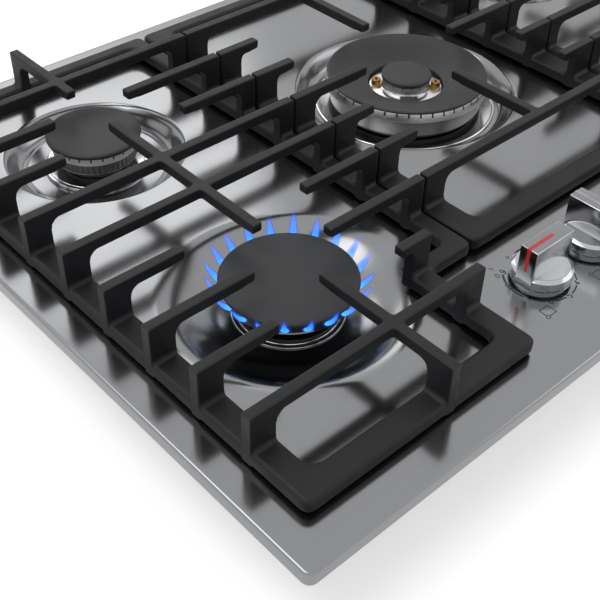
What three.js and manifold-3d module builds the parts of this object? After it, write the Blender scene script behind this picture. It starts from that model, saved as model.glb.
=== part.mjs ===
// Built-in gas cooktop: a pressed steel top with five burners in round wells, three cast pan supports,
// a row of push-and-turn knobs along the front, and the gas train in a burner box below.
// Millimetres. +X is the cook's right, +Y points away from the cook and +Z is up.
// The origin is the middle of the footprint, level with the underside of the burner box.
import * as THREE from "three";
import { mergeVertices } from "three/addons/utils/BufferGeometryUtils.js";
import Module from "manifold-3d";

const wasm = await Module();
wasm.setup();

// Clearances
const seatGap = 0.3; // between pieces that rest on or against each other
const runningGap = 0.3; // between a turning or sliding piece and its bore
const supportGap = 2.1; // between neighbouring pan supports

// Pressed top
const plateWidth = 787;
const plateDepth = 540;
const plateThickness = 1;
const plateCornerRadius = 6;
const plateEdgeRadius = 2;
const lipDrop = 9.6;
const wellDepth = 13;
const wellWallRun = 21; // plan width of a well's sloping wall

// Places, measured in from the edges of the top
const burnerSideInset = 138;
const knobInset = 71.3;
const supportSideInset = 23.7;
const supportFrontInset = 27.5;
const supportRearInset = 28.7;

// Seal under the edge of the top
const sealInset = 2.5;
const sealWidth = 8;
const sealHeight = 8.2;

// Burner box
const boxHeight = 53.2;
const boxSideInset = 30;
const boxFrontInset = 32;
const boxWall = 1.2;
const boxCornerRadius = 12;
const ventLength = 60;
const ventWidth = 6;
const ventPitch = 14;
const ventCount = 5;
const ventOffset = 120; // to each side of the middle
const ventInset = 68; // from the rear of the box to the middle of the first slot

// Holding brackets on the box's sides
const bracketThickness = 6;
const bracketLength = 112;
const bracketDrop = 50; // from the top of the plate down to the bracket's lower edge
const bracketHeight = 36;
const bracketSlant = 12;
const bracketOffset = -12; // in front of the middle of the box's side

// How far each burner's middle lies behind the line of bars that leads to it
const burnerLines = {
  front: { lineIndex: 3, behind: 0.7 },
  centre: { lineIndex: 6, behind: -1.5 },
  rear: { lineIndex: 8, behind: -0.3 },
};

// Burners. Heights are above the floor of the well.
const burnerWall = 3;
const cupDepth = 26;
const capBevel = 1.4;
const portDepth = 3.2;
const portWidth = 2;
const frontBurner = {
  floorRadius: 62,
  cupRadius: 28,
  flangeRadius: 39.2,
  flangeHeight: 1,
  neckRadius: 31,
  neckHeight: 9,
  flareHeight: 16,
  headRadius: 43.8,
  headHeight: 25,
  capRadius: 47.5,
  capThickness: 3.8,
  portCount: 12,
  electrodeReach: 49.5,
};
const rearBurner = {
  floorRadius: 55,
  cupRadius: 22,
  flangeRadius: 40.5,
  flangeHeight: 2.7,
  neckRadius: 25,
  neckHeight: 9.5,
  flareHeight: 11,
  headRadius: 33,
  headHeight: 26,
  capRadius: 37,
  capThickness: 4.2,
  portCount: 12,
  electrodeReach: 46,
};
const centreBurner = {
  floorRadius: 84,
  cupRadius: 56,
  flangeRadius: 78,
  flangeHeight: 2,
  footRadius: 61.5,
  footHeight: 7,
  bodyRadius: 64.5,
  bodyHeight: 17.5,
  ringFootRadius: 68.5,
  headRadius: 72,
  headHeight: 28.3,
  rimWidth: 6,
  capRadius: 68.3,
  capThickness: 1.6,
  openingRadius: 32.3,
  openingHeight: 19.5, // top of the dished ring cap at its opening
  lugReach: 24.3, // from the burner's middle to the tip of the ring cap's lug
  lugWidth: 14.7,
  lugTurn: (229 * Math.PI) / 180,
  portCount: 20,
  innerHeadRadius: 20.3,
  innerHeadHeight: 23.8,
  trayRadius: 31.4,
  trayHeight: 17,
  trayThickness: 2,
  innerCapRadius: 21.8,
  innerCapThickness: 4.4,
  innerPortCount: 8,
  pinReach: 25.5,
  pinRadius: 3.5,
  pinSleeveHeight: 21,
  pinHeight: 23.5,
};

// Spark pins and the flame sensor
const pinRadius = 3;
const pinCollarRadius = 4.5;
const pinCollarHeight = 2;
const pinCeramicHeight = 14;
const pinTipRadius = 1;
const pinTipHeight = 19;
const pinBelowFloor = 4;
const pinCrossbar = 10;
const pinTurn = Math.PI / 4; // a pin stands behind its burner, a little to the right

// Pan supports: a cast frame, posts and bars
const barTop = 40.3; // above the plate
const barWidth = 7.5;
const barDepth = 8;
const barTipDepth = 7;
const barChamfer = 0.8;
const barLines = 9; // counted from the front
const firstBarInset = 50.5; // from the front of the supports
const lastBarInset = 66.1; // from their rear
const postArch = 8;
const frameBottom = 1.5;
const frameTop = 12.1;
const frameChamfer = 1.4;
const frameCornerRadius = 5;
const footRadius = 5;

// Side supports
const knobMargin = 39.6; // between the outermost knob and the support beside it
const shelfInset = 90; // from the front of the support to where it widens behind the knobs
const sideSupport = {
  sideMember: 19.3,
  frontMember: 18.5,
  innerMember: 17,
  shelfMember: 14,
  wideMember: 14.3,
  rearMember: 13.3,
};

// Centre support
const centreSupport = {
  halfWidth: 129.9,
  sideMember: 21.8,
  frontMember: 15.9,
};

// How far the free ends of the bars stand from the middle of their burner
const sideFingers = { short: 52.5, long: 32.5, alongFront: 31.3, beforeRear: 29.2, behindRear: 26.1 };
const centreFingers = { short: 90, long: 51.9, along: 50.8 };

// Knobs
const knobCount = 5;
const knobPitch = 57;
const knobTravel = 2.5;
const knobLift = 3.2; // underside above the plate at rest
const knobRadius = 21.4;
const knobBaseTop = 12.5; // above the plate
const knobBevel = 1.3;
const gripLength = 39;
const gripWidth = 14;
const gripTop = 35; // above the plate
const gripBevel = 0.5;
const windowWidth = 2.6;
const windowDepth = 1.2;
const windowFoot = 16; // lower end of the window above the plate
const socketDepth = 16;
const litKnobTurn = Math.PI / 2; // the knob of the lit burner stands a quarter turn open

// Valves
const stemRadius = 3;
const stemHoleRadius = 5;
const plugRadius = 6;
const plugHeight = 20;
const plugSocket = 12;
const valveWidth = 24;
const valveDepth = 22;
const valveHeight = 24;
const valveFloor = 4;
const valveCollarRadius = 9;
const valveCollarHeight = 9;

// Gas rail, inlet and supply tubes
const railRadius = 8;
const railOverhang = 16;
const railSideGap = 24.3; // between the rail and the box's side wall
const railBend = 32;
const railBendSteps = 5;
const railJoint = 0.5; // how far the straight runs reach into the bend
const railEndInset = 48; // from the rear of the box
const inletPipeRadius = 8;
const inletNutRadius = 13;
const inletNutLength = 8;
const inletThreadRadius = 10;
const inletThreadLength = 22;
const inletBore = 5;
const nutSides = 6;
const tubeRadius = 4;
const tubeRun = 70; // straight pull at each end of a supply tube's curve

// Spark generator
const sparkBoxSize = { x: 60, y: 42, z: 22 };
const sparkBoxGap = { x: 14.3, y: 19.8 }; // to the box's side and rear walls
const sparkBoxCorner = 4;
const sparkBoxChamfer = 1;

// Roundness
const fineSides = 28;
const roundSides = 24;
const smallSides = 12;
const tubeSides = 8;
const tubeSteps = 12;
const curveSteps = 2;
const wellRings = 3;

// Heights worked out from the sizes above
const plateTop = boxHeight + seatGap + plateThickness;
const plateUnderside = plateTop - plateThickness;
const wellFloor = plateTop - wellDepth;
const valveTop = plateUnderside - seatGap;
const valveBottom = valveTop - valveCollarHeight - valveHeight;
const gasLevel = valveBottom + valveHeight / 2;
const cupBottom = wellFloor - cupDepth;

// Places worked out from the sizes above
const knobY = knobInset - plateDepth / 2;
const knobX = (index) => (index - (knobCount - 1) / 2) * knobPitch;
const supportEdge = {
  side: plateWidth / 2 - supportSideInset,
  front: supportFrontInset - plateDepth / 2,
  shelf: supportFrontInset - plateDepth / 2 + shelfInset,
  rear: plateDepth / 2 - supportRearInset,
  besideKnobs: knobX(knobCount - 1) + knobRadius + knobMargin,
  besideCentre: centreSupport.halfWidth + supportGap,
};
const firstBar = supportEdge.front + firstBarInset;
const barPitch = (supportEdge.rear - lastBarInset - firstBar) / (barLines - 1);
const barY = (line) => firstBar + (line - 1) * barPitch;
const burnerY = ({ lineIndex, behind }) => barY(lineIndex) + behind;
const sideBurnerX = plateWidth / 2 - burnerSideInset;
const frontBurnerY = burnerY(burnerLines.front);
const centreBurnerY = burnerY(burnerLines.centre);
const rearBurnerY = burnerY(burnerLines.rear);
const boxWidth = plateWidth - 2 * boxSideInset;
const boxDepth = plateDepth - 2 * boxFrontInset;
const railRunX = boxWidth / 2 - boxWall - railSideGap - railRadius;
const railEndY = boxDepth / 2 - railEndInset;

// Finishes
const finish = {
  steel: { color: 0xa9aaab, roughness: 0.28, metalness: 1 },
  castIron: { color: 0x222324, roughness: 0.7, metalness: 0.2 },
  enamel: { color: 0x2b2c2e, roughness: 0.55, metalness: 0.1 },
  chrome: { color: 0xd5d6d8, roughness: 0.12, metalness: 1 },
  aluminium: { color: 0xb9babb, roughness: 0.4, metalness: 1 },
  brass: { color: 0xb4893f, roughness: 0.35, metalness: 1 },
  ceramic: { color: 0xe6dfd0, roughness: 0.5, metalness: 0 },
  galvanised: { color: 0x8d9092, roughness: 0.5, metalness: 0.9 },
  foam: { color: 0x1c1c1c, roughness: 0.95, metalness: 0 },
  plastic: { color: 0x303030, roughness: 0.6, metalness: 0 },
};

const cooktop = new THREE.Group();

// ---- Solid modelling helpers ----

// A closed three.js geometry as a solid that can be joined and cut.
function solidOf(geometry) {
  const bare = geometry.index ? geometry.toNonIndexed() : geometry.clone();
  for (const name of Object.keys(bare.attributes)) {
    if (name !== "position") bare.deleteAttribute(name);
  }
  const merged = mergeVertices(bare, 1e-4);
  const corners = [];
  for (let i = 0; i < merged.index.count; i += 3) {
    const [a, b, c] = [0, 1, 2].map((n) => merged.index.getX(i + n));
    if (a !== b && b !== c && c !== a) corners.push(a, b, c);
  }
  const vertProperties = merged.attributes.position.array;
  const made = new wasm.Manifold(
    new wasm.Mesh({ numProp: 3, vertProperties, triVerts: new Uint32Array(corners) }),
  );
  if (made.volume() >= 0) return made;
  for (let i = 0; i < corners.length; i += 3) {
    [corners[i + 1], corners[i + 2]] = [corners[i + 2], corners[i + 1]];
  }
  return new wasm.Manifold(
    new wasm.Mesh({ numProp: 3, vertProperties, triVerts: new Uint32Array(corners) }),
  );
}

function joined(first, ...others) {
  return others.reduce((whole, piece) => whole.add(piece), first);
}

function cutBy(solid, ...cutters) {
  return cutters.reduce((left, cutter) => left.subtract(cutter), solid);
}

// A solid as a named mesh of the cooktop.
function addPiece(name, solid, look) {
  const mesh = solid.getMesh();
  const geometry = new THREE.BufferGeometry();
  const points = new Float32Array(mesh.vertProperties);
  geometry.setAttribute("position", new THREE.BufferAttribute(points, 3));
  geometry.setIndex(new THREE.BufferAttribute(new Uint32Array(mesh.triVerts), 1));
  geometry.computeVertexNormals();
  const piece = new THREE.Mesh(geometry, new THREE.MeshStandardMaterial(look));
  piece.name = name;
  cooktop.add(piece);
}

// A profile of [radius, height] pairs turned about an upright axis.
function turned(profile, sides, x = 0, y = 0) {
  const points = profile.map(([radius, height]) => new THREE.Vector2(radius, height));
  return solidOf(new THREE.LatheGeometry(points, sides).rotateX(Math.PI / 2).translate(x, y, 0));
}

// A profile that encloses a ring, closed back to its first point.
function turnedRing(profile, sides, x = 0, y = 0) {
  return turned([...profile, profile[0]], sides, x, y);
}

function post(radius, bottom, top, sides, x = 0, y = 0) {
  return turned([[0, bottom], [radius, bottom], [radius, top], [0, top]], sides, x, y);
}

function block(width, depth, bottom, top, x = 0, y = 0) {
  const box = new THREE.BoxGeometry(width, depth, top - bottom);
  return solidOf(box.translate(x, y, (bottom + top) / 2));
}

// A closed outline through corners, each rounded by the given radius.
function roundedOutline(corners, radius, Kind = THREE.Shape) {
  const outline = new Kind();
  corners.forEach((corner, i) => {
    const before = corners[(i + corners.length - 1) % corners.length];
    const after = corners[(i + 1) % corners.length];
    const start = towards(corner, before, radius);
    const end = towards(corner, after, radius);
    if (i === 0) outline.moveTo(start.x, start.y);
    else outline.lineTo(start.x, start.y);
    outline.quadraticCurveTo(corner.x, corner.y, end.x, end.y);
  });
  outline.closePath();
  return outline;
}

function towards(from, to, distance) {
  return from.clone().add(to.clone().sub(from).setLength(distance));
}

function rectangle(width, depth) {
  const [x, y] = [width / 2, depth / 2];
  return [[-x, -y], [x, -y], [x, y], [-x, y]].map(([u, v]) => new THREE.Vector2(u, v));
}

// An outline in the XY plane raised from bottom to top, with chamfered rims if a chamfer is given.
function raised(outline, bottom, top, chamfer = 0) {
  const geometry = new THREE.ExtrudeGeometry(outline, {
    depth: top - bottom - 2 * chamfer,
    bevelEnabled: chamfer > 0,
    bevelSegments: 1,
    bevelSize: chamfer,
    bevelOffset: -chamfer,
    bevelThickness: chamfer,
    curveSegments: curveSteps,
  });
  return solidOf(geometry.translate(0, 0, bottom + chamfer));
}

function tubeAlong(curve, radius, sides, steps) {
  const section = new THREE.Shape();
  section.absarc(0, 0, radius, 0, 2 * Math.PI);
  const geometry = new THREE.ExtrudeGeometry(section, {
    extrudePath: curve,
    steps,
    curveSegments: sides / 2, // a full circle takes twice this many
    bevelEnabled: false,
  });
  return solidOf(geometry);
}

// ---- Pressed top ----

const burners = [
  { name: "front_left", kind: frontBurner, x: -sideBurnerX, y: frontBurnerY },
  { name: "rear_left", kind: rearBurner, x: -sideBurnerX, y: rearBurnerY },
  { name: "centre", kind: centreBurner, x: 0, y: centreBurnerY },
  { name: "rear_right", kind: rearBurner, x: sideBurnerX, y: rearBurnerY },
  { name: "front_right", kind: frontBurner, x: sideBurnerX, y: frontBurnerY },
];

// The S-shaped wall of a well, from the plate's surface down to its floor.
function wellProfile(floorRadius, drop) {
  const wall = [];
  for (let i = 0; i <= wellRings; i += 1) {
    const share = i / wellRings;
    const depth = (wellDepth * (1 + Math.cos(Math.PI * share))) / 2;
    wall.push([floorRadius + wellWallRun * share, plateTop - depth - drop]);
  }
  return wall;
}

// What a well takes out of the plate, or with a drop the metal that the press pushes down.
function wellSolid(floorRadius, drop, top, x, y) {
  const wall = wellProfile(floorRadius, drop);
  const rim = wall[wall.length - 1];
  return turned([[0, wall[0][1]], ...wall, [rim[0], top], [0, top]], roundSides, x, y);
}

function plate() {
  const outer = roundedOutline(rectangle(plateWidth, plateDepth), plateCornerRadius);
  const inner = roundedOutline(
    rectangle(plateWidth - 2 * plateThickness, plateDepth - 2 * plateThickness),
    plateCornerRadius - plateThickness,
  );
  const lipBottom = plateTop - lipDrop;
  const below = lipBottom - lipDrop; // clear of the lip, so that the cuts pass right through
  const skin = cutBy(
    raised(outer, below, plateTop, plateEdgeRadius),
    raised(inner, below - 2 * lipDrop, plateUnderside, plateEdgeRadius - plateThickness / 2),
    block(2 * plateWidth, 2 * plateDepth, below - lipDrop, lipBottom),
  );
  const over = plateTop + wellDepth;
  let sheet = skin;
  for (const { kind, x, y } of burners) {
    sheet = sheet.add(wellSolid(kind.floorRadius, plateThickness, plateTop, x, y));
  }
  for (const { name, kind, x, y } of burners) {
    sheet = cutBy(
      sheet,
      wellSolid(kind.floorRadius, 0, over, x, y),
      post(kind.cupRadius + seatGap, cupBottom, over, roundSides, x, y),
    );
    if (name !== "centre") {
      const pin = electrodePlace(kind, x, y);
      const hole = post(pinRadius + seatGap, cupBottom, over, smallSides, pin.x, pin.y);
      sheet = sheet.subtract(hole);
    }
  }
  for (let i = 0; i < knobCount; i += 1) {
    const hole = post(stemHoleRadius, plateUnderside - 1, plateTop + 1, smallSides, knobX(i), knobY);
    sheet = sheet.subtract(hole);
  }
  return sheet;
}

function edgeSeal() {
  const width = plateWidth - 2 * sealInset;
  const depth = plateDepth - 2 * sealInset;
  const outline = roundedOutline(rectangle(width, depth), plateCornerRadius);
  const hole = rectangle(width - 2 * sealWidth, depth - 2 * sealWidth);
  outline.holes.push(roundedOutline(hole.reverse(), plateCornerRadius, THREE.Path));
  const top = plateUnderside - seatGap;
  return raised(outline, top - sealHeight, top);
}

// ---- Burner box and what hangs on it ----

function burnerBox() {
  const outer = roundedOutline(rectangle(boxWidth, boxDepth), boxCornerRadius);
  const inside = rectangle(boxWidth - 2 * boxWall, boxDepth - 2 * boxWall);
  const inner = roundedOutline(inside, boxCornerRadius - boxWall);
  let tray = raised(outer, 0, boxHeight).subtract(raised(inner, boxWall, boxHeight + 1));
  for (const side of [-1, 1]) {
    for (let i = 0; i < ventCount; i += 1) {
      const y = boxDepth / 2 - ventInset - i * ventPitch;
      tray = tray.subtract(block(ventLength, ventWidth, -1, boxWall + 1, side * ventOffset, y));
    }
  }
  return tray.subtract(inletHole());
}

function alongY(radius, start, end, x, sides = smallSides) {
  const rod = new THREE.CylinderGeometry(radius, radius, end - start, sides);
  return solidOf(rod.translate(x, (start + end) / 2, gasLevel));
}

function inletHole() {
  const wall = boxDepth / 2;
  return alongY(inletPipeRadius + seatGap, wall - 2 * boxWall, wall + boxWall, railRunX, roundSides);
}

function holdingBracket(side) {
  const half = bracketLength / 2;
  const corners = [
    [-half, 0],
    [half, 0],
    [half + bracketSlant, bracketHeight],
    [-half - bracketSlant, bracketHeight],
  ].map(([u, v]) => new THREE.Vector2(u, v));
  const geometry = new THREE.ExtrudeGeometry(roundedOutline(corners, bracketThickness / 2), {
    depth: bracketThickness,
    bevelEnabled: false,
    curveSegments: curveSteps,
  });
  geometry.rotateX(Math.PI / 2).rotateZ(Math.PI / 2);
  const inner = boxWidth / 2 + seatGap;
  const x = side > 0 ? inner : -inner - bracketThickness;
  return solidOf(geometry.translate(x, bracketOffset, plateTop - bracketDrop));
}

function gasRail() {
  const y = knobY - valveDepth / 2 - seatGap - railRadius;
  const start = new THREE.Vector3(knobX(0) - railOverhang, y, gasLevel);
  const bendStart = new THREE.Vector3(railRunX - railBend, y, gasLevel);
  const corner = new THREE.Vector3(railRunX, y, gasLevel);
  const bendEnd = new THREE.Vector3(railRunX, y + railBend, gasLevel);
  const end = new THREE.Vector3(railRunX, railEndY, gasLevel);
  const bend = new THREE.QuadraticBezierCurve3(bendStart, corner, bendEnd);
  const frontRun = new THREE.LineCurve3(start, bendStart.clone().setX(bendStart.x + railJoint));
  const sideRun = new THREE.LineCurve3(bendEnd.clone().setY(bendEnd.y - railJoint), end);
  return joined(
    tubeAlong(frontRun, railRadius, tubeSides, 1),
    tubeAlong(bend, railRadius, tubeSides, railBendSteps),
    tubeAlong(sideRun, railRadius, tubeSides, 1),
  );
}

function gasInlet() {
  const wall = boxDepth / 2;
  const start = railEndY + seatGap;
  const nutStart = wall + seatGap;
  const body = joined(
    alongY(inletNutRadius, start, start + inletNutLength, railRunX, nutSides),
    alongY(inletPipeRadius, start, nutStart + 1, railRunX, roundSides),
    alongY(inletNutRadius, nutStart, nutStart + inletNutLength, railRunX, nutSides),
    alongY(inletThreadRadius, nutStart, nutStart + inletThreadLength, railRunX, roundSides),
  );
  const end = nutStart + inletThreadLength;
  return body.subtract(alongY(inletBore, start + inletNutLength, end + 1, railRunX));
}

// A bent tube from a valve to the side of a burner's cup.
function supplyTube(index, { kind, x, y }) {
  const start = new THREE.Vector3(knobX(index), knobY + valveDepth / 2 + seatGap, gasLevel);
  const cup = new THREE.Vector3(x, y, gasLevel);
  const aim = start.clone().setY(start.y + tubeRun);
  const outwards = aim.sub(cup).normalize();
  const end = cup.clone().addScaledVector(outwards, kind.cupRadius + seatGap);
  const startPull = start.clone().setY(start.y + tubeRun);
  const endPull = end.clone().addScaledVector(outwards, tubeRun);
  const curve = new THREE.CubicBezierCurve3(start, startPull, endPull, end);
  return tubeAlong(curve, tubeRadius, tubeSides, tubeSteps);
}

function sparkBox() {
  const bottom = boxWall + seatGap;
  const { x: width, y: depth, z: height } = sparkBoxSize;
  const outline = roundedOutline(rectangle(width, depth), sparkBoxCorner);
  const body = raised(outline, bottom, bottom + height, sparkBoxChamfer);
  const x = boxWidth / 2 - boxWall - sparkBoxGap.x - width / 2;
  const y = boxDepth / 2 - boxWall - sparkBoxGap.y - depth / 2;
  return body.translate([-x, y, 0]);
}

// ---- Burners ----

// Where a side burner's spark pin stands.
function electrodePlace(kind, x, y) {
  const reach = kind.electrodeReach;
  return { x: x + reach * Math.cos(pinTurn), y: y + reach * Math.sin(pinTurn) };
}

// The cup that holds the injector, hung on the floor of its well by a flange.
function burnerCup(kind, x, y) {
  const bottom = cupBottom;
  const inner = kind.cupRadius - burnerWall;
  const flangeBottom = wellFloor + seatGap;
  const flangeTop = wellFloor + kind.flangeHeight;
  const profile = [
    [0, bottom],
    [kind.cupRadius, bottom],
    [kind.cupRadius, flangeBottom],
    [kind.flangeRadius, flangeBottom],
    [kind.flangeRadius, flangeTop],
    [inner, flangeTop],
    [inner, bottom + burnerWall],
    [0, bottom + burnerWall],
  ];
  return turned(profile, roundSides, x, y);
}

// Slots cut into the rim of a head, evenly round it.
function portCutters(count, innerRadius, outerRadius, rim, x, y) {
  const cutters = [];
  for (let i = 0; i < count; i += 1) {
    const slot = new THREE.BoxGeometry(outerRadius - innerRadius, portWidth, 2 * portDepth);
    slot.translate((innerRadius + outerRadius) / 2, 0, rim);
    slot.rotateZ(((i + 0.5) / count) * 2 * Math.PI);
    cutters.push(solidOf(slot.translate(x, y, 0)));
  }
  return cutters;
}

function sideHead(kind, x, y) {
  const bottom = wellFloor + kind.flangeHeight + seatGap;
  const neck = wellFloor + kind.neckHeight;
  const flare = wellFloor + kind.flareHeight;
  const rim = wellFloor + kind.headHeight;
  const profile = [
    [kind.neckRadius, bottom],
    [kind.neckRadius, neck],
    [kind.headRadius, flare],
    [kind.headRadius, rim],
    [kind.headRadius - burnerWall, rim],
    [kind.headRadius - burnerWall, flare + burnerWall],
    [kind.cupRadius - burnerWall, neck + burnerWall],
    [kind.cupRadius - burnerWall, bottom],
  ];
  const inner = kind.headRadius - 2 * burnerWall;
  const cutters = portCutters(kind.portCount, inner, kind.headRadius + burnerWall, rim, x, y);
  return cutBy(turnedRing(profile, roundSides, x, y), ...cutters);
}

function discCap(radius, thickness, bottom, x, y) {
  const top = bottom + thickness;
  const profile = [
    [0, bottom],
    [radius - capBevel, bottom],
    [radius, bottom + capBevel],
    [radius, top - capBevel],
    [radius - capBevel, top],
    [0, top],
  ];
  return turned(profile, fineSides, x, y);
}

function sideCap(kind, x, y) {
  return discCap(kind.capRadius, kind.capThickness, wellFloor + kind.headHeight + seatGap, x, y);
}

// A ceramic pin through the well's floor, with a steel tip and a crossbar facing the burner's ports.
function sparkPin(kind, x, y) {
  const place = electrodePlace(kind, x, y);
  const floor = wellFloor + seatGap;
  const top = wellFloor + pinTipHeight;
  const pin = joined(
    post(pinRadius, wellFloor - pinBelowFloor, wellFloor + pinCeramicHeight, smallSides, place.x, place.y),
    post(pinCollarRadius, floor, floor + pinCollarHeight, smallSides, place.x, place.y),
    post(pinTipRadius, wellFloor, top, tubeSides, place.x, place.y),
  );
  const bar = new THREE.BoxGeometry(2 * pinTipRadius, pinCrossbar, 2 * pinTipRadius);
  bar.rotateZ(pinTurn).translate(place.x, place.y, top - pinTipRadius);
  return pin.add(solidOf(bar));
}

// Where the spark pin (side 1) and the flame sensor (side -1) stand beside the inner head.
function innerPinPlace(side) {
  const reach = side * centreBurner.pinReach;
  return { x: -reach * Math.cos(pinTurn), y: centreBurnerY + reach * Math.sin(pinTurn) };
}

// A pin that stands on the floor of the centre burner's cup.
function innerPin(side) {
  const { x, y } = innerPinPlace(side);
  const bottom = cupBottom + burnerWall + seatGap;
  const sleeveTop = wellFloor + centreBurner.pinSleeveHeight;
  return joined(
    post(centreBurner.pinRadius, bottom, sleeveTop, smallSides, x, y),
    post(pinTipRadius, bottom, wellFloor + centreBurner.pinHeight, tubeSides, x, y),
  );
}

// The centre burner's cup also carries the inner head on a stand in its middle.
function centreCup() {
  const standTop = wellFloor + centreBurner.flangeHeight;
  const radius = centreBurner.innerHeadRadius - burnerWall;
  const stand = post(radius, cupBottom, standTop, roundSides, 0, centreBurnerY);
  return burnerCup(centreBurner, 0, centreBurnerY).add(stand);
}

function centreHead() {
  const { footRadius: foot, bodyRadius: body, headRadius: head, openingRadius: opening } = centreBurner;
  const bottom = wellFloor + centreBurner.flangeHeight + seatGap;
  const step = wellFloor + centreBurner.footHeight;
  const ringFoot = wellFloor + centreBurner.bodyHeight;
  const rim = wellFloor + centreBurner.headHeight;
  const innerRim = openingUnderside() - seatGap;
  const profile = [
    [foot, bottom],
    [foot, step],
    [body, step],
    [body, ringFoot],
    [centreBurner.ringFootRadius, ringFoot],
    [head, rim],
    [head - centreBurner.rimWidth, rim],
    [body - burnerWall, step + burnerWall],
    [opening + burnerWall, step + burnerWall],
    [opening + burnerWall, innerRim],
    [opening, innerRim],
    [opening, bottom],
  ];
  const inner = head - centreBurner.rimWidth;
  const outer = head + burnerWall;
  const cutters = portCutters(centreBurner.portCount, inner, outer, rim, 0, centreBurnerY);
  return cutBy(turnedRing(profile, fineSides, 0, centreBurnerY), ...cutters);
}

// The inner head has a bright tray round it, which the two pins pass through.
function innerHead() {
  const radius = centreBurner.innerHeadRadius;
  const bottom = wellFloor + centreBurner.flangeHeight + seatGap;
  const rim = wellFloor + centreBurner.innerHeadHeight;
  const trayTop = wellFloor + centreBurner.trayHeight;
  const trayBottom = trayTop - centreBurner.trayThickness;
  const bore = radius - 2 * burnerWall;
  const profile = [
    [radius, bottom],
    [radius, trayBottom],
    [centreBurner.trayRadius, trayBottom],
    [centreBurner.trayRadius, trayTop],
    [radius, trayTop],
    [radius, rim],
    [bore, rim],
    [bore, bottom],
  ];
  const cutters = portCutters(centreBurner.innerPortCount, bore, radius + 1, rim, 0, centreBurnerY);
  for (const side of [-1, 1]) {
    const { x, y } = innerPinPlace(side);
    cutters.push(post(centreBurner.pinRadius + seatGap, bottom, rim, smallSides, x, y));
  }
  return cutBy(turnedRing(profile, roundSides, 0, centreBurnerY), ...cutters);
}

function openingUnderside() {
  return wellFloor + centreBurner.openingHeight - centreBurner.capThickness;
}

// The outer cap is a ring, dished towards its opening, with a lug that reaches in to the inner burner.
function ringCap() {
  const bottom = wellFloor + centreBurner.headHeight + seatGap;
  const top = bottom + centreBurner.capThickness;
  const edge = centreBurner.capThickness / 2;
  const openingTop = wellFloor + centreBurner.openingHeight;
  const opening = centreBurner.openingRadius;
  const profile = [
    [opening, openingUnderside()],
    [centreBurner.headRadius - centreBurner.rimWidth - seatGap, bottom],
    [centreBurner.capRadius, bottom],
    [centreBurner.capRadius, top - edge],
    [centreBurner.capRadius - capBevel, top],
    [opening, openingTop],
  ];
  const lugLength = opening + burnerWall - centreBurner.lugReach;
  const middle = centreBurner.lugReach + lugLength / 2;
  const lug = block(lugLength, centreBurner.lugWidth, openingUnderside(), openingTop, middle, 0);
  const turn = THREE.MathUtils.radToDeg(centreBurner.lugTurn);
  const ring = turnedRing(profile, fineSides, 0, centreBurnerY);
  return ring.add(lug.rotate([0, 0, turn]).translate([0, centreBurnerY, 0]));
}

function innerCap() {
  const bottom = wellFloor + centreBurner.innerHeadHeight + seatGap;
  const { innerCapRadius, innerCapThickness } = centreBurner;
  return discCap(innerCapRadius, innerCapThickness, bottom, 0, centreBurnerY);
}

// ---- Pan supports ----

// The side view of a bar: posts at the ends that have one, arched into the bar's underside.
// Distances run along the bar from its first end, heights from the plate.
function barOutline(length, firstPost, lastPost) {
  const shape = new THREE.Shape();
  const top = barTop;
  const end = (depth) => (depth > 0 ? frameBottom : top - barTipDepth);
  shape.moveTo(0, end(firstPost));
  shape.lineTo(0, top - barChamfer);
  shape.lineTo(barChamfer, top);
  shape.lineTo(length - barChamfer, top);
  shape.lineTo(length, top - barChamfer);
  shape.lineTo(length, end(lastPost));
  archedPost(shape, length - lastPost, -1, lastPost);
  archedPost(shape, firstPost, 1, firstPost);
  shape.closePath();
  return shape;
}

// The foot and inner face of a post with its arch, entered from the right or left of the bar.
function archedPost(shape, x, inwards, depth) {
  const under = barTop - barDepth;
  if (depth === 0) return;
  const foot = () => shape.lineTo(x, frameBottom);
  const spring = [x, under - postArch];
  const crown = [x + inwards * postArch, under];
  if (inwards < 0) {
    foot();
    shape.lineTo(...spring);
    shape.quadraticCurveTo(x, under, ...crown);
  } else {
    shape.lineTo(...crown);
    shape.quadraticCurveTo(x, under, ...spring);
    foot();
  }
}

// A bar between two points of the plan, with the depths of its posts.
function bar([x1, y1], [x2, y2], firstPost, lastPost) {
  const length = Math.hypot(x2 - x1, y2 - y1);
  const geometry = new THREE.ExtrudeGeometry(barOutline(length, firstPost, lastPost), {
    depth: barWidth - 2 * barChamfer,
    bevelEnabled: true,
    bevelSegments: 1,
    bevelSize: barChamfer,
    bevelOffset: -barChamfer,
    bevelThickness: barChamfer,
    curveSegments: curveSteps,
  });
  geometry.translate(0, 0, -barWidth / 2 + barChamfer);
  geometry.rotateX(Math.PI / 2).rotateZ(Math.atan2(y2 - y1, x2 - x1));
  return solidOf(geometry.translate(x1, y1, plateTop));
}

function supportFrame(outline, opening) {
  const shape = roundedOutline(outline, frameCornerRadius);
  shape.holes.push(roundedOutline([...opening].reverse(), frameCornerRadius, THREE.Path));
  return raised(shape, plateTop + frameBottom, plateTop + frameTop, frameChamfer);
}

function supportFeet(places) {
  return places.map(([x, y]) => {
    return post(footRadius, plateTop + seatGap, plateTop + frameBottom + frameChamfer, tubeSides, x, y);
  });
}

const vectors = (pairs) => pairs.map(([x, y]) => new THREE.Vector2(x, y));

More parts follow.
